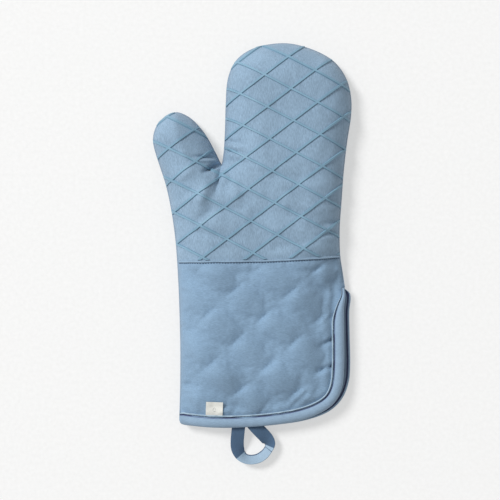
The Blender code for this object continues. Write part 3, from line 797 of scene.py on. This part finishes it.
def moulded(name, colour):
    """Matt silicone with a faint grain."""
    material, tree, shader = node_material(name)
    place = add(tree, "ShaderNodeTexCoord").outputs["Object"]
    ramp = two_tone(tree, noise(tree, place, 60.0, 2.0, 0.5), colour, 0.93, 1.06)
    tree.links.new(ramp.outputs["Color"], shader.inputs["Base Color"])
    roughen(tree, shader, noise(tree, place, 900.0, 2.0, 0.5), 0.25, 0.08)
    shader.inputs["Roughness"].default_value = 0.55
    shader.inputs["Specular IOR Level"].default_value = 0.35
    return material


def plain(name, colour, rough=0.9, glow=0.0):
    """A matt material with faint speckle, and a glow if it lights itself."""
    material, tree, shader = node_material(name)
    place = add(tree, "ShaderNodeTexCoord").outputs["Object"]
    ramp = two_tone(tree, noise(tree, place, 300.0, 3.0, 0.6), colour, 0.85, 1.1)
    tree.links.new(ramp.outputs["Color"], shader.inputs["Base Color"])
    shader.inputs["Roughness"].default_value = rough
    if glow:
        shader.inputs["Emission Color"].default_value = (1.0, 1.0, 0.99, 1.0)
        shader.inputs["Emission Strength"].default_value = glow
    return material


UPRIGHT = 0.0
ACROSS = math.radians(90)
HAND_CLOTH = woven("hand_cloth", (0.27, 0.393, 0.523), UPRIGHT, deep=0.2)
CUFF_CLOTH = woven("cuff_cloth", (0.24, 0.368, 0.515), ACROSS, deep=0.16)
LINING_CLOTH = woven("lining_cloth", (0.235, 0.325, 0.435), UPRIGHT)
BINDING_CLOTH = woven("binding_cloth", (0.29, 0.415, 0.555), ACROSS)
# Painted shade: dark navy for the grooves beside the binding's lip and for the back binding's gap under the
# front binding, where shade falls.
BINDING_PAINTED_SHADE = woven("binding_painted_shade", (0.12, 0.15, 0.29), ACROSS, deep=0.08)
# Painted highlight: a lighter blue for the top of the binding's folded lip, where the light catches its
# ridge.
BINDING_PAINTED_HIGHLIGHT = woven("binding_painted_highlight", (0.42, 0.56, 0.68), ACROSS, deep=0.08)
# The loop's tape as a shaded and a lit copy of one cloth: the legs painted dark as if in the hem's shadow,
# the far end painted lighter as if lit.
LOOP_PAINTED_SHADE_CLOTH = woven("loop_painted_shade_cloth", (0.075, 0.135, 0.225), UPRIGHT, deep=0.08)
LOOP_PAINTED_LIGHT_CLOTH = woven("loop_painted_light_cloth", (0.36, 0.49, 0.62), UPRIGHT, deep=0.08)
LABEL_CLOTH = woven("label_cloth", (0.9, 0.905, 0.85), ACROSS, deep=0.04)
SILICONE = moulded("silicone", (0.18, 0.312, 0.415))
# Dark thread for the stitches, also used as painted shade on the loop's inner edge and at its folds.
THREAD_AND_PAINTED_SHADE = plain("thread", (0.06, 0.1, 0.17))
MARK_THREAD = plain("mark_thread", (0.42, 0.44, 0.45))
WADDING = plain("wadding", (0.85, 0.85, 0.83))
FLOOR = plain("floor", (0.38, 0.38, 0.38), rough=0.95, glow=0.48)


# -------- the lattice

def lattice_shares():
    across = abs(LATTICE_U[0] * LATTICE_V[1] - LATTICE_U[1] * LATTICE_V[0]) / np.linalg.norm(LATTICE_U)
    return LATTICE_BAR / 2 / across, LATTICE_EASE / across


def lattice_holes(half, points_a_side):
    """The outlines of the lattice's holes, for bars of a given half width."""
    corners = [(half, half), (1 - half, half), (1 - half, 1 - half), (half, 1 - half), (half, half)]
    ring = np.vstack([np.linspace(a, b, points_a_side, endpoint=False)
                      for a, b in zip(np.array(corners[:-1]), np.array(corners[1:]))] + [corners[:1]])
    outline = wall_outline(FRONT_MOUTH)
    holes = []
    for i in LATTICE_RANGE:
        for j in LATTICE_RANGE:
            hole = LATTICE_START + (ring[:, :1] + i) * LATTICE_U + (ring[:, 1:] + j) * LATTICE_V
            if inside(outline, hole).any() and (above_yoke(hole) > 0).any():
                holes.append(hole)
    return holes


def lattice_network(mouth):
    """The plan of the whole lattice: points, triangles and each point's share of the full height."""
    half, lip = lattice_shares()
    outline = wall_outline(mouth)
    edge = SEAM + 0.9 * sideways(SEAM)
    foot = evenly(YOKE, 3.0) + 2.0 * sideways(evenly(YOKE, 3.0))
    crease = evenly(np.array([CROTCH, CROTCH - 70 * THUMB_CREASE]), 3.0)
    lines = [edge, foot, crease] + lattice_holes(half, 9) + lattice_holes(half - lip, 9)
    flat, triangles = triangulated(*chained(lines), 1e-3)

    def off_bar(p):
        share = (p - LATTICE_START) @ np.linalg.inv(np.array([LATTICE_U, LATTICE_V]))
        return np.abs(share - np.round(share)).min(axis=1)

    centres = flat[triangles].mean(axis=1)
    keep = (off_bar(centres) < half) & inside(outline, centres) & (above_yoke(centres) > 2.0)
    keep &= distance_to(SEAM, centres) > 0.87
    height = np.clip((half - off_bar(flat)) / lip, 0, 1)
    return flat, triangles[keep], height


def lattice_piece(name, sheet, network, in_part):
    """One part of the lattice, laid on the sheet with bevelled bars."""
    flat, triangles, height = network
    index, triangles = only_used(triangles[in_part(flat[triangles].mean(axis=1))], len(flat))
    places, normals = sheet.at(flat[index])
    lifted = LATTICE_LIP + (LATTICE_HEIGHT - LATTICE_LIP) * height[index]
    top = places + normals * lifted[:, None]
    if sheet.outward < 0:
        triangles = triangles[:, ::-1]
        top[:, 2] = np.maximum(top[:, 2], FLOOR_CLEARANCE)
    under = places - LATTICE_SINK * normals
    made = new_object(name, np.vstack([top, under]), layer_faces(triangles, len(index)), SILICONE)
    made.data.set_sharp_from_angle(angle=math.radians(50))
    return made


# -------- stitches

STITCH_SIDES, STITCH_RINGS = 6, 5


def stitch_row(name, path, normals, length, gap, radius, material, sink=0.1):
    """Single stitches along a path, each a short thread that dives into the cloth at both ends."""
    run = lengths_along(path)
    vertices, faces = [], []
    sides, rings = STITCH_SIDES, STITCH_RINGS
    at = gap
    while at + length < run[-1]:
        where = at + length * np.linspace(0, 1, rings)
        centre = np.column_stack([np.interp(where, run, path[:, k]) for k in range(3)])
        up = np.column_stack([np.interp(where, run, normals[:, k]) for k in range(3)])
        along = unit(centre[-1] - centre[0])
        up = unit(up - (up @ along)[:, None] * along)
        side = np.cross(along, up)
        arch = np.sin(np.linspace(0.12, math.pi - 0.12, rings))
        first = len(vertices)
        for k in range(rings):
            thick = radius * (0.55 + 0.45 * arch[k])
            middle = centre[k] + up[k] * (radius * 1.4 * arch[k] - sink)
            for s in range(sides):
                turn = 2 * math.pi * s / sides
                vertices.append(middle + thick * (math.cos(turn) * side[k] + math.sin(turn) * up[k]))
        faces += tube_faces(rings, sides, first)
        at += length + gap
    return new_object(name, vertices, faces, material)


# -------- the binding

# Cross sections of the folded tape: first the outside, which ends with the underside, then the inside
BINDING_UNDERSIDE = (
    (0.1, -0.7), (0.6, -2.0), (1.7, -3.3), (3.2, -4.0), (5.0, -4.2), (6.8, -4.1), (8.2, -3.7),
    (9.4, -2.9), (9.9, -3.2), (10.6, -3.3), (11.0, -2.8), (10.9, -2.1),
)
BINDING_SECTION = (
    (10.7, 1.5), (11.0, 2.9), (10.95, 4.1), (10.45, 4.7), (9.85, 4.3), (9.6, 2.6), (8.9, 2.0),
    (8.1, 3.3), (6.6, 4.2), (4.8, 4.4), (3.1, 4.0), (1.6, 3.1), (0.6, 1.8), (0.1, 0.6),
    *BINDING_UNDERSIDE,
    (9.6, -1.9), (7.0, -2.9), (4.5, -3.1), (2.3, -2.4), (1.3, -0.8), (1.3, 0.8), (2.3, 2.4), (4.5, 3.2),
    (7.0, 2.4), (9.0, 1.2),
)
BEADED_SECTION = (
    (10.7, 0.9), (11.0, 1.6), (10.95, 2.3), (10.45, 2.6), (9.85, 2.4), (9.4, 1.6), (8.4, 1.3),
    (6.4, 1.2), (4.6, 0.9), (3.4, 0.7), (2.6, 1.4), (1.9, 2.7), (1.1, 2.7), (0.3, 1.4),
    *BINDING_UNDERSIDE,
    (9.6, -1.9), (7.0, -2.6), (4.5, -2.6), (2.3, -2.0), (1.5, -0.9), (1.7, 0.2), (2.6, 0.2), (4.5, 0.1),
    (7.0, 0.4), (9.0, 0.5),
)
BINDING_OUTER_COUNT = 26
# Faces along the top of the lip, painted with a highlight
BINDING_PAINTED_HIGHLIGHT_FACES = (1, 2, 3, 4)
# Faces painted with shade: the grooves either side of the lip, and the back binding's gap under the front
# binding
BINDING_PAINTED_SHADE_FACES = (0, 5, 6)
BEADED_PAINTED_SHADE_FACES = (6, 7, 8, 9, 10)


def binding_frames(mouth, mid_height, seed, taper=32.0):
    """The binding's path in 3-D, its inward direction, and its width and thickness at each point."""
    path = evenly(mouth, 1.6)
    inward = sideways(path)
    run = lengths_along(path)
    left = run[-1] - run
    z = mid_height(path + 5.0 * inward)
    kernel = np.ones(7) / 7
    z = np.convolve(np.pad(z, 3, mode="edge"), kernel, mode="valid")
    width = (0.3 + 0.7 * ease(left / taper)) * (0.75 + 0.25 * ease(run / 5))
    foot = ease(1 - run / 14)[:, None]
    inward = unit(inward * (1 - foot) + foot * np.array((0.0, 1.0)))
    thick = 0.72 + 0.28 * ease(run / 14) * ease((left + 6) / 20)
    thick = thick * (1 + 0.035 * ripples_along(run, seed, 9)) * (1 + 0.04 * ripples_along(run, seed + 1, 34))
    return np.column_stack([path, z]), inward, width, thick


def binding_end(section_size, first, flip):
    """The faces that close one end of the binding between the outside and the inside of its section."""
    outer = range(first, first + BINDING_OUTER_COUNT)
    inner = range(first + BINDING_OUTER_COUNT, first + section_size)[::-1]
    share = (BINDING_OUTER_COUNT - 1) / (len(inner) + 1)
    faces = []
    for k in range(len(inner) + 1):
        strip = list(outer[round(k * share) : round((k + 1) * share) + 1])
        strip += inner[k : k + 1]
        if k > 0:
            strip.append(inner[k - 1])
        faces.append(tuple(strip[::-1] if flip else strip))
    return faces


def binding_piece(name, mouth, mid_height, lowest, seed, beaded):
    """The folded tape round one wall's open edge, padded or, where it is beaded, flatter."""
    path, inward, width, thick = binding_frames(mouth, mid_height, seed, 14.0 if beaded else 32.0)
    section = np.array(BEADED_SECTION if beaded else BINDING_SECTION)
    count = len(section)
    run = lengths_along(path)
    vertices = []
    for k, (point, direction) in enumerate(zip(path, inward)):
        pucker = 1 + 0.05 * ripples(np.array([(run[k], s * 4.0) for s, _ in section]), seed + 2, 5.0)
        s = section[:, 0] * width[k]
        h = section[:, 1] * thick[k] * pucker
        z = np.maximum(point[2] + h, lowest)
        vertices += [(point[0] + direction[0] * a, point[1] + direction[1] * a, b) for a, b in zip(s, z)]
    faces = tube_faces(len(path), count)[:-2]
    faces += binding_end(count, 0, True) + binding_end(count, (len(path) - 1) * count, False)
    made = new_object(name, vertices, faces, BINDING_CLOTH)
    fold, shade = ((), BEADED_PAINTED_SHADE_FACES) if beaded else (BINDING_PAINTED_HIGHLIGHT_FACES, BINDING_PAINTED_SHADE_FACES)
    # The top of the lip is painted with a highlight.
    paint(made, BINDING_PAINTED_HIGHLIGHT, count, range(len(path) - 1), fold)
    # The grooves beside the lip, and on the back binding the gap under the front binding, are painted shade.
    paint(made, BINDING_PAINTED_SHADE, count, range(len(path) - 1), shade)
    face_outward(made)
    made.data.set_sharp_from_angle(angle=math.radians(70))
    return made


def binding_stitch_path(mouth, mid_height, seed):
    """The groove between the binding's lip and its padded band."""
    path, inward, width, thick = binding_frames(mouth, mid_height, seed)
    place = path.copy()
    place[:, :2] += inward * (9.6 * width)[:, None]
    place[:, 2] += 2.5 * thick
    normal = np.tile((0.0, 0.0, 1.0), (len(path), 1))
    return place[3:-14], normal[3:-14]


# -------- loop and label

LOOP_ROUTE = (
    ((-11.4, -143.0, 11.6), (-1.0, 0.0, 0.0)),
    ((-11.8, -149.0, 11.4), (-1.0, 0.0, 0.0)),
    ((-12.4, -155.0, 9.6), (-1.0, 0.0, -0.02)),
    ((-12.9, -161.0, 7.2), (-1.0, 0.0, 0.02)),
    ((-12.7, -167.2, 5.4), (-0.97, -0.16, 0.2)),
    ((-10.6, -173.0, 4.9), (-0.66, -0.44, 0.6)),
    ((-7.0, -176.6, 5.0), (-0.3, -0.5, 0.81)),
    ((-1.6, -178.0, 5.0), (0.0, -0.52, 0.85)),
    ((5.0, -177.0, 5.0), (0.22, -0.48, 0.85)),
    ((10.6, -173.4, 5.0), (0.42, -0.34, 0.84)),
    ((14.2, -168.4, 5.1), (0.56, -0.06, 0.82)),
    ((14.8, -163.6, 5.9), (0.72, 0.4, 0.56)),
    ((12.4, -159.0, 7.4), (0.7, 0.66, 0.2)),
    ((8.4, -154.4, 9.4), (0.69, 0.72, 0.02)),
    ((4.0, -149.6, 11.2), (0.69, 0.72, 0.0)),
    ((0.2, -145.4, 11.6), (0.69, 0.72, 0.0)),
)
LOOP_FINE = 10
LOOP_LINE, LOOP_ACROSS = (smooth_curve(column, LOOP_FINE) for column in zip(*LOOP_ROUTE))
LOOP_WIDTH = 11.4
LOOP_THICK = 0.9
# Spans and faces of the loop painted with shade: a dark ring at each of its two folds, and its inner edge
# along the far end
LOOP_PAINTED_CREASE_SPANS = (4.35, 9.9)
LOOP_PAINTED_SHADE_FACES = (0, 1, 14, 15)
LOOP_PAINTED_SHADE_SPANS = (5.3, 10.6)
# The far end's span, painted lighter as if lit
LOOP_PAINTED_LIGHT_SPANS = (5.2, 10.5)
LOOP_SECTION = (
    (-0.5, 0.35), (-0.44, 0.5), (-0.39, 0.36), (-0.2, 0.42), (0.0, 0.44), (0.2, 0.42), (0.39, 0.36),
    (0.44, 0.5), (0.5, 0.35), (0.5, -0.35), (0.44, -0.5), (0.2, -0.42), (0.0, -0.44), (-0.2, -0.42),
    (-0.44, -0.5), (-0.5, -0.35),
)


def loop_rings(spans):
    """The rings of the loop between two of its route's points, given with fractions."""
    return range(*(int(LOOP_FINE * span) for span in spans))


def loop_painted_shade_edge_piece():
    """The tape's turned-under edge along the inside of the loop's far end, a thin tube in dark thread colour:
    painted shade where that edge lies in shadow.
    """
    rings = loop_rings(LOOP_PAINTED_SHADE_SPANS)
    route, widths = LOOP_LINE[rings], unit(LOOP_ACROSS[rings])
    up = np.cross(unit(np.gradient(route, axis=0)), widths)
    line = route - widths * (0.5 * LOOP_WIDTH + 0.3)
    swell = 0.25 + 0.75 * np.sin(np.linspace(0.05, math.pi - 0.05, len(line))) ** 0.5
    vertices = np.array([line[k] + swell[k] * (0.75 * math.cos(t) * widths[k] + 0.6 * math.sin(t) * up[k])
                         for k in range(len(line)) for t in 2 * math.pi * np.arange(TUBE_SIDES) / TUBE_SIDES])
    vertices[:, 2] = np.maximum(vertices[:, 2], FLOOR_CLEARANCE)
    return new_object("hanging_loop_painted_shade_edge", vertices, tube_faces(len(line), TUBE_SIDES), THREAD_AND_PAINTED_SHADE)


def loop_piece():
    """The hanging loop: a folded tape with stitched edges, turning on edge along its far end."""
    vertices = []
    for centre, width, tangent in zip(LOOP_LINE, LOOP_ACROSS, np.gradient(LOOP_LINE, axis=0)):
        forward = unit(tangent)
        across = unit(width - (width @ forward) * forward)
        up = np.cross(forward, across)
        for a, b in LOOP_SECTION:
            place = centre + across * a * LOOP_WIDTH + up * b * LOOP_THICK
            vertices.append((place[0], place[1], max(place[2], FLOOR_CLEARANCE)))
    count = len(LOOP_SECTION)
    made = new_object("hanging_loop_tape", vertices, tube_faces(len(LOOP_LINE), count), LOOP_PAINTED_SHADE_CLOTH)
    # The far end is painted lighter as if lit; the rest of the tape keeps the dark painted shade.
    paint(made, LOOP_PAINTED_LIGHT_CLOTH, count, loop_rings(LOOP_PAINTED_LIGHT_SPANS), range(count))
    # The inner edge along the far end and a ring at each fold are painted shade in thread colour.
    paint(made, THREAD_AND_PAINTED_SHADE, count, loop_rings(LOOP_PAINTED_SHADE_SPANS), LOOP_PAINTED_SHADE_FACES)
    paint(made, THREAD_AND_PAINTED_SHADE, count, [int(LOOP_FINE * span) for span in LOOP_PAINTED_CREASE_SPANS], range(count))
    face_outward(made)
    made.data.set_sharp_from_angle(angle=math.radians(60))
    return made


LABEL_FOOT = np.array((-32.6, -138.3))
LABEL_TURN = math.radians(-2.5)
LABEL_ACROSS = np.array((math.cos(LABEL_TURN), math.sin(LABEL_TURN)))
LABEL_UP = np.array((-LABEL_ACROSS[1], LABEL_ACROSS[0]))
LABEL_WIDTH, LABEL_HEIGHT, LABEL_THICK = 14.4, 12.2, 0.9


def label_piece(front):
    """A folded woven label that stands out of the hem's seam and lies on the cloth."""
    columns, rows = 13, 12
    grid = np.array([LABEL_FOOT + (c / (columns - 1) - 0.5) * LABEL_WIDTH * LABEL_ACROSS
                     + (r / (rows - 1)) * LABEL_HEIGHT * LABEL_UP
                     for r in range(rows) for c in range(columns)])
    places, _ = front.at(grid)
    share = np.repeat(np.arange(rows) / (rows - 1), columns)
    level = places[:, 2].reshape(rows, columns).mean(axis=1).repeat(columns)
    bottom = np.maximum(places[:, 2], level) + 0.25 + 0.7 * share**2
    pillow = LABEL_THICK * (0.75 + 0.25 * np.sin(math.pi * share))
    lower = np.column_stack([grid, bottom])
    upper = np.column_stack([grid, bottom + pillow])
    count = rows * columns
    faces = []
    for r in range(rows - 1):
        for c in range(columns - 1):
            a = r * columns + c
            faces.append((a + count, a + 1 + count, a + 1 + columns + count, a + columns + count))
            faces.append((a, a + columns, a + 1 + columns, a + 1))
    rim = list(range(columns)) + [r * columns + columns - 1 for r in range(1, rows)]
    rim += [(rows - 1) * columns + c for c in range(columns - 2, -1, -1)]
    rim += [r * columns for r in range(rows - 2, 0, -1)]
    for a, b in zip(rim, rim[1:] + rim[:1]):
        faces.append((a, b, b + count, a + count))
    made = new_object("hem_label", np.vstack([lower, upper]), faces, LABEL_CLOTH)
    made.data.set_sharp_from_angle(angle=math.radians(50))
    return made, Sheet(grid, grid_triangles(rows, columns), upper, 1.0)


def grid_triangles(rows, columns):
    made = []
    for r in range(rows - 1):
        for c in range(columns - 1):
            a = r * columns + c
            made += [(a, a + 1, a + columns + 1), (a, a + columns + 1, a + columns)]
    return np.array(made)


def label_mark(surface):
    """A plain woven lozenge in the middle of the label."""
    middle = LABEL_FOOT + 0.45 * LABEL_HEIGHT * LABEL_UP
    wide, tall = 1.5 * LABEL_ACROSS, 1.9 * LABEL_UP
    corners = [middle + wide, middle + tall, middle - wide, middle - tall, middle + wide]
    places, normals = surface.at(evenly(np.array(corners), 0.25))
    return stitch_row("label_mark", places, normals, 1.2, 0.25, 0.16, MARK_THREAD, 0.02)


# -------- joints

def declare(piece, kind, fold, *nodes):
    """Hides the CAD parts that a piece replaces, and bakes in the transform of a piece with a crease or hangs
    any other on the shell's body. Its kind, what it is made of, is not used.
    """
    if nodes:
        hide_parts(*nodes)
    if fold:
        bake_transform(piece)
    else:
        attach(piece, "shell")


TOP = 30.0
THUMB_SIDE = np.array((-THUMB_CREASE[1], THUMB_CREASE[0]))
FLAP_SIDE = np.array((FLAP_ALONG[1], -FLAP_ALONG[0]))
FINGER_FOLD = ("shell", "fingers", (30, FINGER_CREASE_Y, TOP), (30, FINGER_CREASE_Y + 24, TOP))
THUMB_FOLD = ("shell", "thumb", (*CROTCH, TOP), (*(CROTCH + 18 * THUMB_SIDE), TOP))
FLAP_FOLD = ("shell", "front_flap",
             (*(FLAP_START - 8 * FLAP_SIDE), TOP), (*(FLAP_START + 12 * FLAP_SIDE), TOP))
LOOP_SWING = ("front_flap", "hanging_loop", (-2, -148.5, 12), (-2, -156, 12))
LABEL_FLIP = ("front_flap", "label", (-33.2, -138.4, 26), (-33.2, -134.5, 26))


# -------- assembly

def build_layer(side, noun, kind, cuff_nodes, make):
    """One layer of a wall, in a hand, a thumb and a cuff piece."""
    parts = (
        ("hand", in_hand, FINGER_FOLD, ("palm", "fingers")),
        ("thumb", in_thumb, THUMB_FOLD, ("thumb",)),
        ("cuff", in_cuff, FLAP_FOLD if side == "front" else None, cuff_nodes),
    )
    for part, region, fold, nodes in parts:
        piece = make(f"{side}_{part}_{noun}", region)
        declare(piece, kind, fold, *(f"{side}_{kind}_{node}" for node in nodes))


def build_wall_cloth(side, mouth, sheet, cuff_nodes):
    """The hand, thumb and cuff panels of one wall's outer cloth, and its lattice."""
    def panel(name, region):
        return cloth_piece(name, sheet, region, CUFF_CLOTH if region is in_cuff else HAND_CLOTH)

    build_layer(side, "panel", "cloth", cuff_nodes, panel)
    network = lattice_network(mouth)
    grip = lattice_piece(f"{side}_grip_lattice", sheet, network, in_hand)
    declare(grip, "lattice", FINGER_FOLD, f"{side}_lattice_palm", f"{side}_lattice_fingers")
    thumb_grip = lattice_piece(f"{side}_thumb_grip_lattice", sheet, network, in_thumb)
    declare(thumb_grip, "lattice", THUMB_FOLD, f"{side}_lattice_thumb")


def seam_roll(name, region, cloth, fold):
    """The turned-in edges of both walls along the closed seam, as one soft roll for each stretch."""
    numbers = np.nonzero(region(SEAM))[0]
    stretches = np.split(numbers, np.nonzero(np.diff(numbers) > 1)[0] + 1)
    for label, run in zip("abcd", stretches):
        line = SEAM[max(run[0] - 1, 0) : run[-1] + 2]
        vertices = []
        for point, across in zip(line, sideways(line)):
            for turn in 2 * math.pi * np.arange(TUBE_SIDES) / TUBE_SIDES:
                place = point + across * (SEAM_ROLL_INSET + SEAM_ROLL * math.cos(turn))
                vertices.append((*place, SEAM_LEVEL + SEAM_ROLL * math.sin(turn)))
        roll = new_object(f"{name}_{label}", vertices, tube_faces(len(line), TUBE_SIDES), cloth)
        face_outward(roll)
        declare(roll, "cloth", fold)


def build_seam_rolls():
    seam_roll("hand_seam", in_hand, HAND_CLOTH, FINGER_FOLD)
    seam_roll("thumb_seam", in_thumb, HAND_CLOTH, THUMB_FOLD)
    seam_roll("cuff_seam", in_cuff, CUFF_CLOTH, None)


def build_lining(side, sheet, cuff_node):
    def lining(name, region):
        return cloth_piece(name, sheet, region, LINING_CLOTH)

    build_layer(side, "lining", "lining", (cuff_node,), lining)


def wadding_piece(name, region, mouth, upper, lower):
    """The wadding between two layers of cloth, a little smaller than the space it fills."""
    flat, triangles = walls_plan(mouth, WADDING_STEP, False)
    border = np.vstack([SEAM[:-1], mouth_edge(mouth)])
    shrink = np.clip(1 - distance_to(border, flat) / 7.0, 0, 1) * 4.0
    inner = sideways(border)[nearest_on(border, flat)]
    index, triangles = only_used(triangles[region(flat[triangles].mean(axis=1))], len(flat))
    plan = (flat + inner * shrink[:, None])[index]
    top, bottom = upper(plan), lower(plan)
    middle, half = (top + bottom) / 2, np.maximum((top - bottom) / 2, 0.15)
    vertices = np.vstack([np.column_stack([plan, middle + half]), np.column_stack([plan, middle - half])])
    return new_object(name, vertices, layer_faces(triangles, len(index)), WADDING)


def front_wadding_top(points):
    """The top of the front wadding, held down where the cloth is tucked in at the crotch."""
    return front_height(points) - 2.8 - 4.5 * bell(np.linalg.norm(points - CROTCH, axis=1), 16)


def build_wadding(side, mouth, upper, lower, cuff_nodes):
    def wadding(name, region):
        return wadding_piece(name, region, mouth, upper, lower)

    build_layer(side, "wadding", "wadding", cuff_nodes, wadding)


def front_mid(points):
    seam, mouth, _ = front_parts(points)
    return np.maximum(front_base(points, seam, mouth) - 2.3, SEAM_LEVEL + 3.2)


def back_mid(points):
    return np.full(len(points), BACK_BINDING_LEVEL)


def build_binding(side, mouth, mid_height, lowest, seed, beaded, fold, gap, radius):
    """One wall's binding and the row of stitches that holds it."""
    binding = binding_piece(f"{side}_edge_binding", mouth, mid_height, lowest, seed, beaded)
    declare(binding, "binding", fold, f"{side}_binding")
    path, normals = binding_stitch_path(mouth, mid_height, seed)
    row = stitch_row(f"{side}_binding_stitches", path, normals, 1.9, gap, radius, THREAD_AND_PAINTED_SHADE)
    declare(row, "thread", fold, f"{side}_binding_thread")


WELT_SECTION = ((-0.55, -0.5), (-0.6, 0.7), (-0.3, 1.35), (0.1, 1.5), (0.5, 1.3), (0.9, 0.7), (1.5, -0.4))


def build_yoke(side, sheet):
    """The folded welt at the foot of the hand panel and the stitches under it."""
    line = evenly(YOKE, 1.0)
    line = line[inside(wall_outline(FRONT_MOUTH), line) & (distance_to(SEAM, line) > 1.4)]
    across = sideways(line)
    uneven = 1 + 0.1 * ripples_along(lengths_along(line), 41, 6)
    rails = []
    for s, h in WELT_SECTION:
        places, normals = sheet.at(line + s * across)
        rails.append(places + normals * (h * uneven)[:, None])
    vertices = np.stack(rails, axis=1).reshape(-1, 3)
    welt = new_object(f"{side}_yoke_welt", vertices, tube_faces(len(line), len(WELT_SECTION)), HAND_CLOTH)
    face_outward(welt)
    declare(welt, "cloth", None)
    places, normals = sheet.at(line - 1.15 * across)
    row = stitch_row(f"{side}_yoke_stitches", places, normals, 1.55, 0.85, 0.36, THREAD_AND_PAINTED_SHADE)
    declare(row, "thread", None, f"{side}_yoke_thread")


def build_loop_and_label(front):
    declare(loop_piece(), "loop", LOOP_SWING, "hanging_loop")
    declare(loop_painted_shade_edge_piece(), "loop", LOOP_SWING)
    label, surface = label_piece(front)
    declare(label, "label", LABEL_FLIP, "label")
    declare(label_mark(surface), "label", LABEL_FLIP)


# -------- studio

FLOOR_HALF = 3000.0
LAMP_PLACE = (-4.92, 3.68, 6.58)
CAMERA_HEIGHT = 1.25
SENSOR = 36.0
VIEW_CENTRE = (-0.0019, 0.0034)
VIEW_WIDTH = 0.4338


def build_studio():
    """The floor, one large round lamp, an even white surround and a camera straight above."""
    scene = bpy.context.scene
    scene.view_settings.view_transform = "Standard"
    corners = [(x * FLOOR_HALF, y * FLOOR_HALF, 0) for x, y in ((-1, -1), (1, -1), (1, 1), (-1, 1))]
    new_object("floor", corners, [(0, 1, 2, 3)], FLOOR)

    light = bpy.data.lights.new("key", "AREA")
    light.shape, light.size, light.energy = "DISK", 2.8, 760
    lamp = bpy.data.objects.new("key", light)
    lamp.location = LAMP_PLACE
    lamp.rotation_euler = (-Vector(LAMP_PLACE)).to_track_quat("-Z", "Y").to_euler()
    scene.collection.objects.link(lamp)

    scene.world = bpy.data.worlds.new("studio")
    scene.world.use_nodes = True
    surround = scene.world.node_tree.nodes["Background"]
    surround.inputs["Color"].default_value = (1, 1, 1, 1)
    surround.inputs["Strength"].default_value = 0.5

    camera = bpy.data.objects.new("camera", bpy.data.cameras.new("camera"))
    camera.location = (*VIEW_CENTRE, CAMERA_HEIGHT)
    camera.data.sensor_width = SENSOR
    camera.data.lens = SENSOR * CAMERA_HEIGHT / VIEW_WIDTH
    camera.data.clip_start = 0.05
    scene.collection.objects.link(camera)
    scene.camera = camera


def build():
    front = outer_sheet(FRONT_MOUTH, front_height, 1.0)
    back = outer_sheet(BACK_MOUTH, back_height, -1.0)
    build_wall_cloth("front", FRONT_MOUTH, front, ("cuff", "flap"))
    build_wall_cloth("back", BACK_MOUTH, back, ("cuff",))
    build_lining("front", lining_sheet(FRONT_MOUTH, front_lining_height, -1.0), "flap")
    build_lining("back", lining_sheet(BACK_MOUTH, back_lining_height, 1.0), "palm")
    build_wadding("front", FRONT_MOUTH, front_wadding_top, lambda p: front_lining_height(p) + 1.2, ("flap",))
    build_wadding("back", BACK_MOUTH,
                  lambda p: back_lining_height(p) - 1.4, lambda p: back_height(p) + 1.6, ())
    build_seam_rolls()
    build_binding("front", FRONT_MOUTH, front_mid, 0.0, 21, False, FLAP_FOLD, 0.65, 0.4)
    build_binding("back", BACK_EDGE, back_mid, 0.08, 31, True, None, 0.7, 0.3)
    build_yoke("front", front)
    build_yoke("back", back)
    build_loop_and_label(front)
    build_studio()


build()
